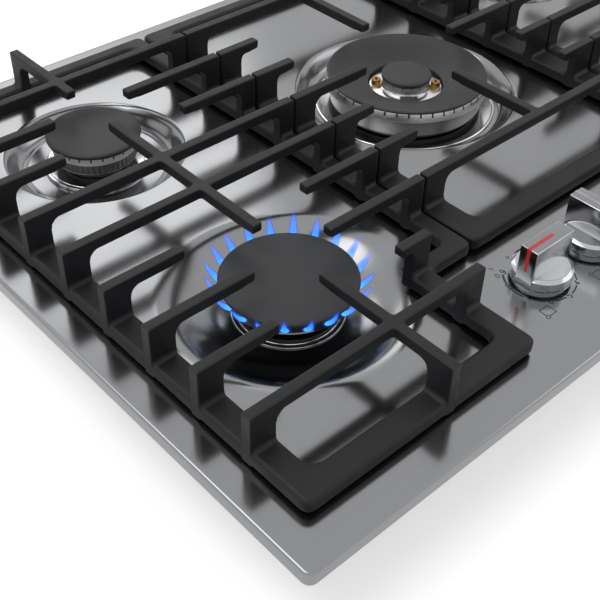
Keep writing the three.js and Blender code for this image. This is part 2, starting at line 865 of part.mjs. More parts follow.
function leftSupport() {
  const s = sideSupport;
  const { side, front, shelf, rear, besideKnobs, besideCentre } = supportEdge;
  const frame = supportFrame(
    vectors([
      [-side, front],
      [-besideKnobs, front],
      [-besideKnobs, shelf],
      [-besideCentre, shelf],
      [-besideCentre, rear],
      [-side, rear],
    ]),
    vectors([
      [-side + s.sideMember, front + s.frontMember],
      [-besideKnobs - s.innerMember, front + s.frontMember],
      [-besideKnobs - s.innerMember, shelf + s.shelfMember],
      [-besideCentre - s.wideMember, shelf + s.shelfMember],
      [-besideCentre - s.wideMember, rear - s.rearMember],
      [-side + s.sideMember, rear - s.rearMember],
    ]),
  );
  const bars = [];
  // Bars from side to side: some lines run right across, the others stop short of a burner.
  const { short, long } = sideFingers;
  const fingerEnds = { 2: short, 3: long, 4: short, 7: short, 8: long };
  for (let line = 1; line <= barLines; line += 1) {
    const y = barY(line);
    const inner = y < shelf + s.shelfMember ? besideKnobs : besideCentre;
    const innerPost = y < shelf + s.shelfMember ? s.innerMember : s.wideMember;
    const reach = fingerEnds[line];
    if (reach === undefined) {
      bars.push(bar([-side, y], [-inner, y], s.sideMember, innerPost));
    } else {
      bars.push(bar([-side, y], [-sideBurnerX - reach, y], s.sideMember, 0));
      bars.push(bar([-inner, y], [-sideBurnerX + reach, y], innerPost, 0));
    }
  }
  // Bars from front to back, in line with the burners.
  const alongBar = (start, end, depth) => bar([-sideBurnerX, start], [-sideBurnerX, end], depth, 0);
  bars.push(alongBar(front, frontBurnerY - sideFingers.alongFront, s.frontMember));
  bars.push(alongBar(frontBurnerY + sideFingers.alongFront, rearBurnerY - sideFingers.beforeRear, 0));
  bars.push(alongBar(rear, rearBurnerY + sideFingers.behindRear, s.rearMember));
  const inset = footRadius + frameChamfer;
  const feet = supportFeet([
    [-side + s.sideMember / 2, front + s.frontMember / 2],
    [-besideKnobs - s.innerMember / 2, front + s.frontMember / 2],
    [-side + s.sideMember / 2, rear - inset],
    [-besideCentre - inset, rear - inset],
  ]);
  return joined(frame, ...bars, ...feet);
}

function middleSupport() {
  const c = centreSupport;
  const half = c.halfWidth;
  const { shelf, rear } = supportEdge;
  const rearMember = sideSupport.rearMember;
  const frame = supportFrame(
    vectors([
      [-half, shelf],
      [half, shelf],
      [half, rear],
      [-half, rear],
    ]),
    vectors([
      [-half + c.sideMember, shelf + c.frontMember],
      [half - c.sideMember, shelf + c.frontMember],
      [half - c.sideMember, rear - rearMember],
      [-half + c.sideMember, rear - rearMember],
    ]),
  );
  const bars = [];
  const burnerLine = burnerLines.centre.lineIndex;
  const frontLine = burnerLine - 3;
  for (let line = frontLine; line <= barLines; line += 1) {
    const y = barY(line);
    if (line === frontLine || line === barLines) {
      bars.push(bar([-half, y], [half, y], c.sideMember, c.sideMember));
    } else {
      const end = line === burnerLine ? centreFingers.long : centreFingers.short;
      bars.push(bar([-half, y], [-end, y], c.sideMember, 0));
      bars.push(bar([half, y], [end, y], c.sideMember, 0));
    }
  }
  bars.push(bar([0, barY(frontLine)], [0, centreBurnerY - centreFingers.along], 0, 0));
  bars.push(bar([0, barY(barLines)], [0, centreBurnerY + centreFingers.along], 0, 0));
  const inset = footRadius + frameChamfer;
  const corners = [];
  for (const x of [-half + inset, half - inset]) {
    for (const y of [shelf + inset, rear - inset]) corners.push([x, y]);
  }
  return joined(frame, ...bars, ...supportFeet(corners));
}

// ---- Knobs and valves ----

// A knob that points away from the cook: a bevelled disc with a flat grip, slotted for its window.
function knob(x, turn) {
  const bottom = plateTop + knobLift;
  const baseTop = plateTop + knobBaseTop;
  const disc = turned(
    [
      [0, bottom],
      [knobRadius, bottom],
      [knobRadius, baseTop - knobBevel],
      [knobRadius - knobBevel, baseTop],
      [0, baseTop],
    ],
    fineSides,
  );
  const top = plateTop + gripTop;
  const outline = new THREE.Shape(rectangle(gripWidth, gripLength));
  const grip = raised(outline, baseTop - knobBevel - gripBevel, top, gripBevel);
  const front = gripLength / 2;
  const foot = plateTop + windowFoot;
  const topSlot = block(windowWidth, front + 1, top - windowDepth, top + 1, 0, (front + 1) / 2);
  const endSlot = block(windowWidth, 2 * windowDepth, foot, top + 1, 0, front);
  const socket = post(stemRadius + seatGap, bottom - 1, bottom + socketDepth, smallSides);
  const whole = cutBy(disc.add(grip), topSlot, endSlot, socket);
  return whole.rotate([0, 0, THREE.MathUtils.radToDeg(turn)]).translate([x, knobY, 0]);
}

// The spindle between a knob's socket and the plug of its valve.
function stem(x) {
  const bottom = plugTop() - plugSocket + knobTravel + seatGap;
  const top = plateTop + knobLift + socketDepth - seatGap;
  return post(stemRadius, bottom, top, smallSides, x, knobY);
}

function plugTop() {
  return valveBottom + valveFloor + seatGap + plugHeight;
}

// The turning plug, bored for the spindle that slides in it.
function valvePlug(x) {
  const bottom = valveBottom + valveFloor + seatGap;
  const plug = post(plugRadius, bottom, plugTop(), smallSides, x, knobY);
  const bore = post(stemRadius + runningGap, plugTop() - plugSocket, plugTop() + 1, smallSides, x, knobY);
  return plug.subtract(bore);
}

function valveBody(x) {
  const housing = block(valveWidth, valveDepth, valveBottom, valveBottom + valveHeight, x, knobY);
  const collar = post(valveCollarRadius, gasLevel, valveTop, roundSides, x, knobY);
  const bore = post(plugRadius + runningGap, valveBottom + valveFloor, valveTop + 1, smallSides, x, knobY);
  return housing.add(collar).subtract(bore);
}

// ---- Assembly ----

addPiece("cooktop_plate", plate(), finish.steel);
addPiece("edge_seal", edgeSeal(), finish.foam);
addPiece("burner_box", burnerBox(), finish.galvanised);
addPiece("left_bracket", holdingBracket(-1), finish.galvanised);
addPiece("right_bracket", holdingBracket(1), finish.galvanised);
addPiece("gas_rail", gasRail(), finish.galvanised);
addPiece("gas_inlet", gasInlet(), finish.brass);
addPiece("spark_generator", sparkBox(), finish.plastic);

burners.forEach((burner, index) => {
  const { name, kind, x, y } = burner;
  addPiece(`supply_tube_${name}`, supplyTube(index, burner), finish.aluminium);
  if (name === "centre") return;
  addPiece(`burner_cup_${name}`, burnerCup(kind, x, y), finish.aluminium);
  addPiece(`burner_head_${name}`, sideHead(kind, x, y), finish.aluminium);
  addPiece(`burner_cap_${name}`, sideCap(kind, x, y), finish.enamel);
  addPiece(`spark_pin_${name}`, sparkPin(kind, x, y), finish.ceramic);
});
addPiece("burner_cup_centre", centreCup(), finish.aluminium);
addPiece("burner_head_centre", centreHead(), finish.aluminium);
addPiece("burner_head_inner", innerHead(), finish.aluminium);
addPiece("burner_cap_ring", ringCap(), finish.enamel);
addPiece("burner_cap_inner", innerCap(), finish.enamel);
addPiece("spark_pin_centre", innerPin(1), finish.ceramic);
addPiece("flame_sensor_centre", innerPin(-1), finish.brass);

const left = leftSupport();
addPiece("pan_support_left", left, finish.castIron);
addPiece("pan_support_centre", middleSupport(), finish.castIron);
addPiece("pan_support_right", left.mirror([1, 0, 0]), finish.castIron);

for (let i = 0; i < knobCount; i += 1) {
  const x = knobX(i);
  addPiece(`knob_${i + 1}`, knob(x, i === 0 ? litKnobTurn : 0), finish.chrome);
  addPiece(`valve_stem_${i + 1}`, stem(x), finish.galvanised);
  addPiece(`valve_plug_${i + 1}`, valvePlug(x), finish.brass);
  addPiece(`valve_body_${i + 1}`, valveBody(x), finish.aluminium);
}

export default cooktop;
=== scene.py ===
"""Gas cooktop: fine pieces, finishes and a plain studio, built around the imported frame.

The pieces are built in the frame's own place and size. Sizes here are in millimetres and are
turned into Blender's metres where a mesh is made. Heights named "above the plate" count from
the flat surface of the pressed top.
"""
import math

import bmesh
import bpy
from bpy.props import FloatProperty, FloatVectorProperty, IntProperty, PointerProperty
from bpy.types import Operator, Panel, PropertyGroup
from mathutils import Matrix, Vector


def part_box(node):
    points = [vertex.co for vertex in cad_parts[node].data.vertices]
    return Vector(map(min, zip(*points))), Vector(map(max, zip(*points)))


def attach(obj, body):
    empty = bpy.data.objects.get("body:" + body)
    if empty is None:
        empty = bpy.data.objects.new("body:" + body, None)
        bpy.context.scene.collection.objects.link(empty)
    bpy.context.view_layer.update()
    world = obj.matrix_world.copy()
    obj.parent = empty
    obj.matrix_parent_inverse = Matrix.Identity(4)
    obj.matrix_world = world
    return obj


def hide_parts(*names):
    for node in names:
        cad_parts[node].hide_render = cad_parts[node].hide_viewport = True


bl_info = {
    "name": "Gas cooktop",
    "version": (1, 0, 0),
    "blender": (4, 5, 0),
    "location": "3D View > Sidebar > Cooktop",
    "description": "Builds a five-burner gas cooktop piece by piece",
    "category": "Add Mesh",
}

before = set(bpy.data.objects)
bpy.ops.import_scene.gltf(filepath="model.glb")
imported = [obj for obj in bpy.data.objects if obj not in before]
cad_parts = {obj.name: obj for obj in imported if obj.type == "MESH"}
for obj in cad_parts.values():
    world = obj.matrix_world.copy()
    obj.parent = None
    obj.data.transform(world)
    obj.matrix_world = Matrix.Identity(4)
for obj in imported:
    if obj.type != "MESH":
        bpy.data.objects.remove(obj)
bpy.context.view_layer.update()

MM = 0.001
SIDES = ("front_left", "rear_left", "rear_right", "front_right")
KNOBS = (1, 2, 3, 4, 5)
ON_AXIS = 1e-6
WALL_STEPS = 32
FOLD_STEPS = 6


def middle_of(node):
    """The middle of a frame node seen from above, in millimetres."""
    low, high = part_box(node)
    return (low.x + high.x) / 2 / MM, (low.y + high.y) / 2 / MM


def top_of(node):
    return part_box(node)[1].z / MM


def bottom_of(node):
    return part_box(node)[0].z / MM


def half_size_of(node):
    """Half the width and half the depth of a frame node, in millimetres."""
    low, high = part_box(node)
    return (high.x - low.x) / 2 / MM, (high.y - low.y) / 2 / MM


PLATE_LOW, PLATE_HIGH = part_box("cooktop_plate")
PLATE_TOP = PLATE_HIGH.z / MM
PLATE_WIDTH = (PLATE_HIGH.x - PLATE_LOW.x) / MM
PLATE_DEPTH = (PLATE_HIGH.y - PLATE_LOW.y) / MM


# ---- Sizes and colours a user would change ----


def length(name, description, default_mm, **more):
    """A length property whose default is given in millimetres."""
    return FloatProperty(
        name=name,
        description=description,
        default=default_mm * MM,
        min=0.0,
        subtype="DISTANCE",
        unit="LENGTH",
        precision=4,
        **more,
    )


def colour(name, description, default):
    return FloatVectorProperty(
        name=name,
        description=description,
        default=default,
        min=0.0,
        max=1.0,
        size=3,
        subtype="COLOR",
    )


class CooktopSizes(PropertyGroup):
    """Driving sizes of the visible pieces."""

    sheet: length("Sheet", "Thickness of the pressed top", 1.0)
    plate_corner: length("Plate corner", "Corner radius of the top seen from above", 6.0)
    plate_edge: length("Plate edge", "Radius where the top turns down into its lip", 2.0)
    lip_drop: length("Lip drop", "Height of the lip round the top", 9.6)
    well_depth: length("Well depth", "Depth of the burner wells", 13.0)
    well_bead: length("Well bead", "Height of the pressed bead round a well's floor", 0.5)
    bar_width: length("Bar width", "Width of the pan supports' bars", 7.5)
    bar_depth: length("Bar depth", "Depth of the bars between their posts", 8.0)
    bar_top: length("Bar top", "Top of the bars above the plate", 40.3)
    arch: length("Arch", "Radius where a post runs into its bar", 9.0)
    foot_fillet: length("Foot fillet", "Size of the fillet at the foot of a post", 3.0)
    crossing_web: length("Crossing web", "Size of the web in the corners of crossing bars", 6.0)
    frame_top: length("Frame top", "Top of the supports' frames above the plate", 12.1)
    frame_chamfer: length("Frame chamfer", "Chamfer round the supports' frames", 1.9)
    casting_grid: length("Casting grid", "Grid that the castings are fused on", 0.75)
    knob_radius: length("Knob radius", "Radius of a knob's base", 21.4)
    knob_bevel: length("Knob bevel", "Bright bevel round a knob's base", 2.8)
    grip_width: length("Grip width", "Width of a knob's grip", 14.0)
    window_width: length("Window width", "Width of the window let into a grip", 2.8)
    dial_radius: length("Dial radius", "Radius of the printed dial round a knob", 25.0)
    digit_height: length("Digit height", "Height of the printed digits", 4.6)
    flame_height: length("Flame height", "Height of a flame above its port", 20.0)
    flame_count: IntProperty(
        name="Flames", description="Flames round the lit burner", default=20, min=3, max=60
    )


class CooktopFinishes(PropertyGroup):
    """Colours of the finishes, as linear values."""

    steel: colour("Steel", "Brushed stainless top", (0.262, 0.265, 0.272))
    casting: colour("Casting", "Matt black pan supports", (0.0105, 0.011, 0.0122))
    # Painted highlight: the lighter colour laid on the castings' and caps' outward edges.
    casting_edge_highlight: colour("Casting edge", "Casting rubbed lighter on its edges", (0.085, 0.088, 0.094))
    enamel: colour("Enamel", "Burner caps", (0.03, 0.031, 0.033))
    aluminium: colour("Aluminium", "Burner heads and cups", (0.62, 0.62, 0.63))
    # Painted shade: a near-black aluminium laid where the burners' necks, bowls and recesses lie in shade.
    shaded: colour("Shaded aluminium", "Burner parts darkened by heat", (0.04, 0.041, 0.044))
    tube: colour("Tube", "Supply tubes", (0.55, 0.56, 0.57))
    chrome: colour("Chrome", "Knobs", (0.46, 0.465, 0.475))
    brass: colour("Brass", "Pins and gas fittings", (0.36, 0.2, 0.065))
    ceramic: colour("Ceramic", "Spark pins", (0.78, 0.74, 0.64))
    galvanised: colour("Galvanised", "Burner box and brackets", (0.36, 0.37, 0.38))
    foam: colour("Foam", "Seal under the edge", (0.02, 0.02, 0.021))
    plastic: colour("Plastic", "Spark generator's case", (0.045, 0.045, 0.047))
    print_ink: colour("Print", "Printed dial", (0.012, 0.012, 0.013))
    window_lit: colour("Lit window", "Glow of the lit knob", (0.46, 0.012, 0.012))
    window_dark: colour("Dark window", "Window of an unlit knob", (0.42, 0.42, 0.43))
    flame_core: colour("Flame core", "Inner flame", (0.05, 0.3, 0.95))
    flame_mantle: colour("Flame mantle", "Outer flame", (0.01, 0.06, 0.75))


class CooktopStudio(PropertyGroup):
    """Light, floor and camera."""

    world_light: FloatProperty(
        name="World light", description="Strength of the even light", default=0.5, min=0.0
    )
    key_power: FloatProperty(
        name="Key lamp", description="Power of the main soft lamp", default=14.0, min=0.0, unit="POWER"
    )
    rim_power: FloatProperty(
        name="Back lamp", description="Power of the lamp behind", default=2.8, min=0.0, unit="POWER"
    )
    side_power: FloatProperty(
        name="Side lamp", description="Power of the soft lamp at the right", default=4.5, min=0.0, unit="POWER"
    )
    floor: colour("Floor", "Colour of the floor", (0.9, 0.9, 0.9))
    floor_glow: FloatProperty(
        name="Floor glow", description="How far the floor is lifted to white", default=0.5, min=0.0
    )
    lens: FloatProperty(
        name="Lens", description="Focal length in millimetres", default=61.956, min=1.0, subtype="DISTANCE_CAMERA"
    )


class CooktopSettings(PropertyGroup):
    """All settings of the cooktop."""

    sizes: PointerProperty(type=CooktopSizes)
    finishes: PointerProperty(type=CooktopFinishes)
    studio: PointerProperty(type=CooktopStudio)


# ---- Mesh helpers ----


def rounded_path(corners, steps=4, closed=False):
    """Corners as (across, up, radius): the path through them with each corner rounded."""
    path = []
    last = len(corners) - 1
    for i, (across, up, radius) in enumerate(corners):
        here = Vector((across, up))
        if radius == 0 or (not closed and i in (0, last)):
            path.append((across, up))
            continue
        before = Vector(corners[i - 1][:2]) - here
        after = Vector(corners[(i + 1) % len(corners)][:2]) - here
        start = here + before.normalized() * min(radius, 0.49 * before.length)
        end = here + after.normalized() * min(radius, 0.49 * after.length)
        for k in range(steps + 1):
            share = k / steps
            point = start.lerp(here, share).lerp(here.lerp(end, share), share)
            path.append((point.x, point.y))
    return path


def even_angles(count, start=0.0):
    return [start + 2 * math.pi * i / count for i in range(count)]


def join_rings(bm, lower, upper):
    """Faces between two rings of corners; a ring of one corner is a pole."""
    count = max(len(lower), len(upper))
    if count == 1:
        return
    for i in range(count):
        n = (i + 1) % count
        if len(lower) == 1:
            bm.faces.new((lower[0], upper[n], upper[i]))
        elif len(upper) == 1:
            bm.faces.new((lower[i], lower[n], upper[0]))
        else:
            bm.faces.new((lower[i], lower[n], upper[n], upper[i]))


def join_all(bm, rings):
    for lower, upper in zip(rings, rings[1:]):
        join_rings(bm, lower, upper)


def turn(bm, profiles, angles, closed=False, middle=(0, 0)):
    """Sweeps profiles of (radius, height), one for each angle, about an upright axis."""
    rings = []
    for k, (first_radius, first_height) in enumerate(profiles[0]):
        if first_radius < ON_AXIS:
            rings.append([bm.verts.new((*middle, first_height))])
            continue
        ring = []
        for angle, profile in zip(angles, profiles):
            radius, height = profile[k]
            x = middle[0] + radius * math.cos(angle)
            y = middle[1] + radius * math.sin(angle)
            ring.append(bm.verts.new((x, y, height)))
        rings.append(ring)
    join_all(bm, rings)
    if closed:
        join_rings(bm, rings[-1], rings[0])


def turn_plain(bm, profile, sides, closed=False, middle=(0, 0)):
    turn(bm, [profile] * sides, even_angles(sides), closed, middle)


def turned_part(corners, sides, steps=3, closed=False):
    """A part turned from corners given as (radius, height, rounding)."""
    bm = bmesh.new()
    turn_plain(bm, rounded_path(corners, steps, closed), sides, closed)
    return bm


def ring_of(bm, radius, height, sides, middle=(0, 0)):
    x, y = middle
    return [
        bm.verts.new((x + radius * math.cos(a), y + radius * math.sin(a), height)) for a in even_angles(sides)
    ]


def loop_of(bm, outline, height):
    return [bm.verts.new((x, y, height)) for x, y in outline]


def fill_flat(bm, *loops):
    """Flat triangles between an outer loop of corners and the loops inside it."""
    edges = []
    for loop in loops:
        for a, b in zip(loop, loop[1:] + loop[:1]):
            edges.append(bm.edges.get((a, b)) or bm.edges.new((a, b)))
    bmesh.ops.triangle_fill(bm, use_beauty=True, use_dissolve=False, edges=edges, normal=(0, 0, 1))


def rounded_rectangle(half_x, half_y, radius, steps=6, middle=(0, 0)):
    """Outline of a rectangle whose corners are arcs."""
    outline = []
    for k, (sx, sy) in enumerate(((1, 1), (-1, 1), (-1, -1), (1, -1))):
        for i in range(steps + 1):
            angle = (k + i / steps) * math.pi / 2
            x = sx * (half_x - radius) + radius * math.cos(angle)
            y = sy * (half_y - radius) + radius * math.sin(angle)
            outline.append((middle[0] + x, middle[1] + y))
    return outline


def inset_corners(corners, distance):
    """Corners of a polygon moved inwards by a distance; the corners run counter-clockwise."""
    moved = []
    for i, corner in enumerate(corners):
        here = Vector(corner)
        into = (here - Vector(corners[i - 1])).normalized()
        out = (Vector(corners[(i + 1) % len(corners)]) - here).normalized()
        left_in, left_out = Vector((-into.y, into.x)), Vector((-out.y, out.x))
        moved.append(tuple(here + distance * (left_in + left_out) / (1 + left_in.dot(left_out))))
    return moved


def prism(bm, outline, start, end):
    """A closed prism: the outline's corners at a start offset and an end offset, as point makers."""
    low = [bm.verts.new(start(u, v)) for u, v in outline]
    high = [bm.verts.new(end(u, v)) for u, v in outline]
    join_rings(bm, low, high)
    bm.faces.new(low[::-1])
    bm.faces.new(high)


def upright_prism(bm, outline, bottom, top):
    prism(bm, outline, lambda x, y: (x, y, bottom), lambda x, y: (x, y, top))


def rounded_block(bm, low, high, bevel, segments=2):
    """A block between two corners with rounded edges."""
    made = bmesh.ops.create_cube(bm, size=1.0)
    middle = (Vector(low) + Vector(high)) / 2
    size = Vector(high) - Vector(low)
    for vert in made["verts"]:
        vert.co = Vector(a * b for a, b in zip(vert.co, size)) + middle
    edges = list({edge for vert in made["verts"] for edge in vert.link_edges})
    bmesh.ops.bevel(
        bm, geom=edges, offset=bevel, segments=segments, profile=0.5, affect="EDGES", clamp_overlap=True
    )


def take_in(bm, part, turned=0.0):
    """Adds a part that was built on its own to a piece, turned about the upright axis."""
    if turned:
        spin = Matrix.Rotation(turned, 3, "Z")
        bmesh.ops.rotate(part, cent=(0, 0, 0), matrix=spin, verts=part.verts)
    carried = bpy.data.meshes.new("part")
    part.to_mesh(carried)
    part.free()
    bm.from_mesh(carried)
    bpy.data.meshes.remove(carried)


def finished_mesh(bm, name, sharp=40):
    """The built mesh in metres, with smooth faces and sharp edges where the angle is large."""
    bmesh.ops.recalc_face_normals(bm, faces=bm.faces)
    bmesh.ops.scale(bm, vec=(MM, MM, MM), verts=bm.verts)
    mesh = bpy.data.meshes.new(name)
    bm.to_mesh(mesh)
    bm.free()
    mesh.shade_smooth()
    mesh.set_sharp_from_angle(angle=math.radians(sharp))
    return mesh


def face_towards(mesh, up):
    """Turns a sheet's faces so that its flat part looks up, with 1, or down, with -1."""
    if up * sum(face.normal.z * face.area for face in mesh.polygons) < 0:
        mesh.flip_normals()


def sheet_mesh(bm, name, thickness, up):
    """A folded sheet that gets its thickness behind the side that is seen."""
    mesh = finished_mesh(bm, name, 60)
    face_towards(mesh, up)
    thicken = ("SOLIDIFY", {"thickness": thickness, "offset": -1.0, "use_even_offset": True})
    mesh = with_modifiers(mesh, name, thicken)
    mesh.shade_smooth()
    mesh.set_sharp_from_angle(angle=math.radians(50))
    return mesh


def other_finishes(mesh, *tests):
    """Gives the faces whose middle passes a test the piece's second, third or later material."""
    for face in mesh.polygons:
        for index, wanted in enumerate(tests, start=1):
            if wanted(face.center / MM):
                face.material_index = index
    return mesh


def with_modifiers(mesh, name, *steps):
    """The mesh after modifiers, each given as (kind, settings)."""
    carrier = bpy.data.objects.new(name, mesh)
    bpy.context.scene.collection.objects.link(carrier)
    for kind, settings in steps:
        modifier = carrier.modifiers.new(kind.title(), kind)
        for key, value in settings.items():
            setattr(modifier, key, value)
    depsgraph = bpy.context.evaluated_depsgraph_get()
    made = bpy.data.meshes.new_from_object(carrier.evaluated_get(depsgraph))
    bpy.data.objects.remove(carrier)
    made.name = name
    return made


def place(name, mesh, body, slot, *looks, instead_of=(), at=(0, 0), turned=0.0):
    """Puts a finished mesh in the scene as a piece that rides on a body. A look is a finish's name
    or a material."""
    piece = bpy.data.objects.new(name, mesh)
    bpy.context.scene.collection.objects.link(piece)
    for look in looks:
        mesh.materials.append(surface(look) if isinstance(look, str) else look)
    piece.location = Vector((*at, 0)) * MM
    piece.rotation_euler = (0, 0, turned)
    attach(piece, body)
    if instead_of:
        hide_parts(*instead_of)


def add_piece(name, bm, body, slot, *looks, sharp=40, tests=(), **where):
    """Finishes what was built and places it; each test picks the faces that get a further look."""
    mesh = other_finishes(finished_mesh(bm, name, sharp), *tests)
    place(name, mesh, body, slot, *looks, **where)


# ---- Shared effects, as node groups ----


def new_group(name, inputs):
    """A shader node group with named sockets, and the two ends of its tree."""
    group = bpy.data.node_groups.new(name, "ShaderNodeTree")
    for label, default in inputs.items():
        kind = "NodeSocketColor" if isinstance(default, tuple) else "NodeSocketFloat"
        group.interface.new_socket(name=label, in_out="INPUT", socket_type=kind).default_value = default
    for label, kind in (("Colour", "Color"), ("Roughness", "Float"), ("Height", "Float")):
        group.interface.new_socket(name=label, in_out="OUTPUT", socket_type=f"NodeSocket{kind}")
    return group, group.nodes.new("NodeGroupInput"), group.nodes.new("NodeGroupOutput")


def stretched_noise(tree, source, stretch, detail=3.0, scale=1.0):
    """Noise on coordinates stretched by three factors."""
    mapping = tree.nodes.new("ShaderNodeMapping")
    mapping.inputs["Scale"].default_value = stretch
    noise = tree.nodes.new("ShaderNodeTexNoise")
    noise.inputs["Scale"].default_value = scale
    noise.inputs["Detail"].default_value = detail
    tree.links.new(source, mapping.inputs["Vector"])
    tree.links.new(mapping.outputs["Vector"], noise.inputs["Vector"])
    return noise.outputs["Fac"]


def spread(tree, value, low, high, from_low=0.3, from_high=0.7):
    """The value stretched from one range to another."""
    node = tree.nodes.new("ShaderNodeMapRange")
    node.inputs["From Min"].default_value = from_low
    node.inputs["From Max"].default_value = from_high
    for key, end in (("To Min", low), ("To Max", high)):
        if isinstance(end, (int, float)):
            node.inputs[key].default_value = end
        else:
            tree.links.new(end, node.inputs[key])
    tree.links.new(value, node.inputs["Value"])
    return node.outputs["Result"]


def maths(tree, operation, first, second):
    node = tree.nodes.new("ShaderNodeMath")
    node.operation = operation
    for socket, value in zip(node.inputs, (first, second)):
        if isinstance(value, (int, float)):
            socket.default_value = value
        else:
            tree.links.new(value, socket)
    return node.outputs[0]


def tinted(tree, base, amount):
    """A colour made lighter or darker by a factor."""
    node = tree.nodes.new("ShaderNodeVectorMath")
    node.operation = "SCALE"
    tree.links.new(base, node.inputs[0])
    tree.links.new(amount, node.inputs["Scale"])
    return node.outputs[0]


def blended(tree, factor, first, second):
    node = tree.nodes.new("ShaderNodeMix")
    node.data_type = "RGBA"
    tree.links.new(factor, node.inputs[0])
    for socket, value in ((node.inputs[6], first), (node.inputs[7], second)):
        if isinstance(value, tuple):
            socket.default_value = (*value, 1.0)
        else:
            tree.links.new(value, socket)
    return node.outputs[2]


def end_metal(group, start, end, pattern, smudge, contrast):
    """The end of a metal's effect: its fine pattern lightens and roughens it, and smudges make it hazier."""
    lighten = maths(group, "MULTIPLY", maths(group, "SUBTRACT", pattern, 0.5), start.outputs[contrast])
    shade = maths(group, "ADD", 1.0, maths(group, "MULTIPLY", lighten, 2.0))
    group.links.new(tinted(group, start.outputs["Colour"], shade), end.inputs["Colour"])
    haze = maths(group, "MULTIPLY", spread(group, smudge, 0.0, 1.0), start.outputs["Smudges"])
    rough = maths(group, "ADD", start.outputs["Roughness"], maths(group, "ADD", haze, lighten))
    group.links.new(rough, end.inputs["Roughness"])
    group.links.new(pattern, end.inputs["Height"])
    return group


def brushed_group(name):
    """Fine lines along one direction, with faint smudges."""
    group, start, end = new_group(
        name, {"Colour": (0.5, 0.5, 0.5, 1), "Roughness": 0.2, "Line contrast": 0.06, "Smudges": 0.05}
    )
    coordinates = group.nodes.new("ShaderNodeTexCoord").outputs["Object"]
    lines = stretched_noise(group, coordinates, (9, 1900, 1900), 2.0)
    smudge = stretched_noise(group, coordinates, (9, 9, 9), 3.0)
    return end_metal(group, start, end, lines, smudge, "Line contrast")


def casting_group(name):
    """Pebbled casting skin, with a painted highlight: a lighter colour where the shape turns outwards."""
    colours = {"Colour": (0.03, 0.03, 0.03, 1), "Edge colour": (0.06, 0.06, 0.06, 1)}
    group, start, end = new_group(name, {**colours, "Roughness": 0.5, "Wear": 0.6})
    coordinates = group.nodes.new("ShaderNodeTexCoord").outputs["Object"]
    pebbles = stretched_noise(group, coordinates, (1, 1, 1), 2.0, 1400.0)
    waves = stretched_noise(group, coordinates, (1, 1, 1), 3.0, 55.0)
    # Painted highlight: where the shape turns outwards, found by pointiness, the colour is blended towards the
    # lighter one.
    pointed = group.nodes.new("ShaderNodeNewGeometry").outputs["Pointiness"]
    edges = spread(group, pointed, 0.0, 1.0, 0.53, 0.62)
    painted = maths(group, "MULTIPLY", edges, start.outputs["Wear"])
    painted_highlight = maths(group, "MULTIPLY", painted, spread(group, waves, 0.5, 1.0))
    shade = tinted(group, start.outputs["Colour"], spread(group, waves, 0.86, 1.14))
    group.links.new(blended(group, painted_highlight, shade, start.outputs["Edge colour"]), end.inputs["Colour"])
    rough = maths(group, "ADD", start.outputs["Roughness"], spread(group, waves, -0.05, 0.06))
    group.links.new(rough, end.inputs["Roughness"])
    group.links.new(pebbles, end.inputs["Height"])
    return group


def turned_group(name):
    """Turning rings about the piece's own axis, with faint smudges."""
    group, start, end = new_group(
        name, {"Colour": (0.6, 0.6, 0.6, 1), "Roughness": 0.25, "Ring contrast": 0.08, "Smudges": 0.06}
    )
    coordinates = group.nodes.new("ShaderNodeTexCoord").outputs["Object"]
    apart = group.nodes.new("ShaderNodeSeparateXYZ")
    group.links.new(coordinates, apart.inputs[0])
    squares = [maths(group, "POWER", apart.outputs[axis], 2.0) for axis in "XY"]
    radius = maths(group, "SQRT", maths(group, "ADD", *squares), 0.0)
    joined = group.nodes.new("ShaderNodeCombineXYZ")
    group.links.new(radius, joined.inputs["X"])
    group.links.new(apart.outputs["Z"], joined.inputs["Z"])
    rings = stretched_noise(group, joined.outputs[0], (2600, 1, 2600), 2.0)
    smudge = stretched_noise(group, coordinates, (60, 60, 60), 3.0)
    return end_metal(group, start, end, rings, smudge, "Ring contrast")


EFFECTS = {"Brushed lines": brushed_group, "Casting skin": casting_group, "Turning rings": turned_group}
EFFECT_SETTINGS = {
    "Brushed lines": ("Roughness", "Line contrast", "Smudges"),
    "Turning rings": ("Roughness", "Ring contrast", "Smudges"),
    "Casting skin": ("Roughness", "Wear", "Edge colour"),
}
LINES, SKIN, RINGS = "Brushed lines", "Casting skin", "Turning rings"
METAL = {"Metallic": 1.0}
GLOW = {"Emission Color": "window_lit", "Emission Strength": 0.22}
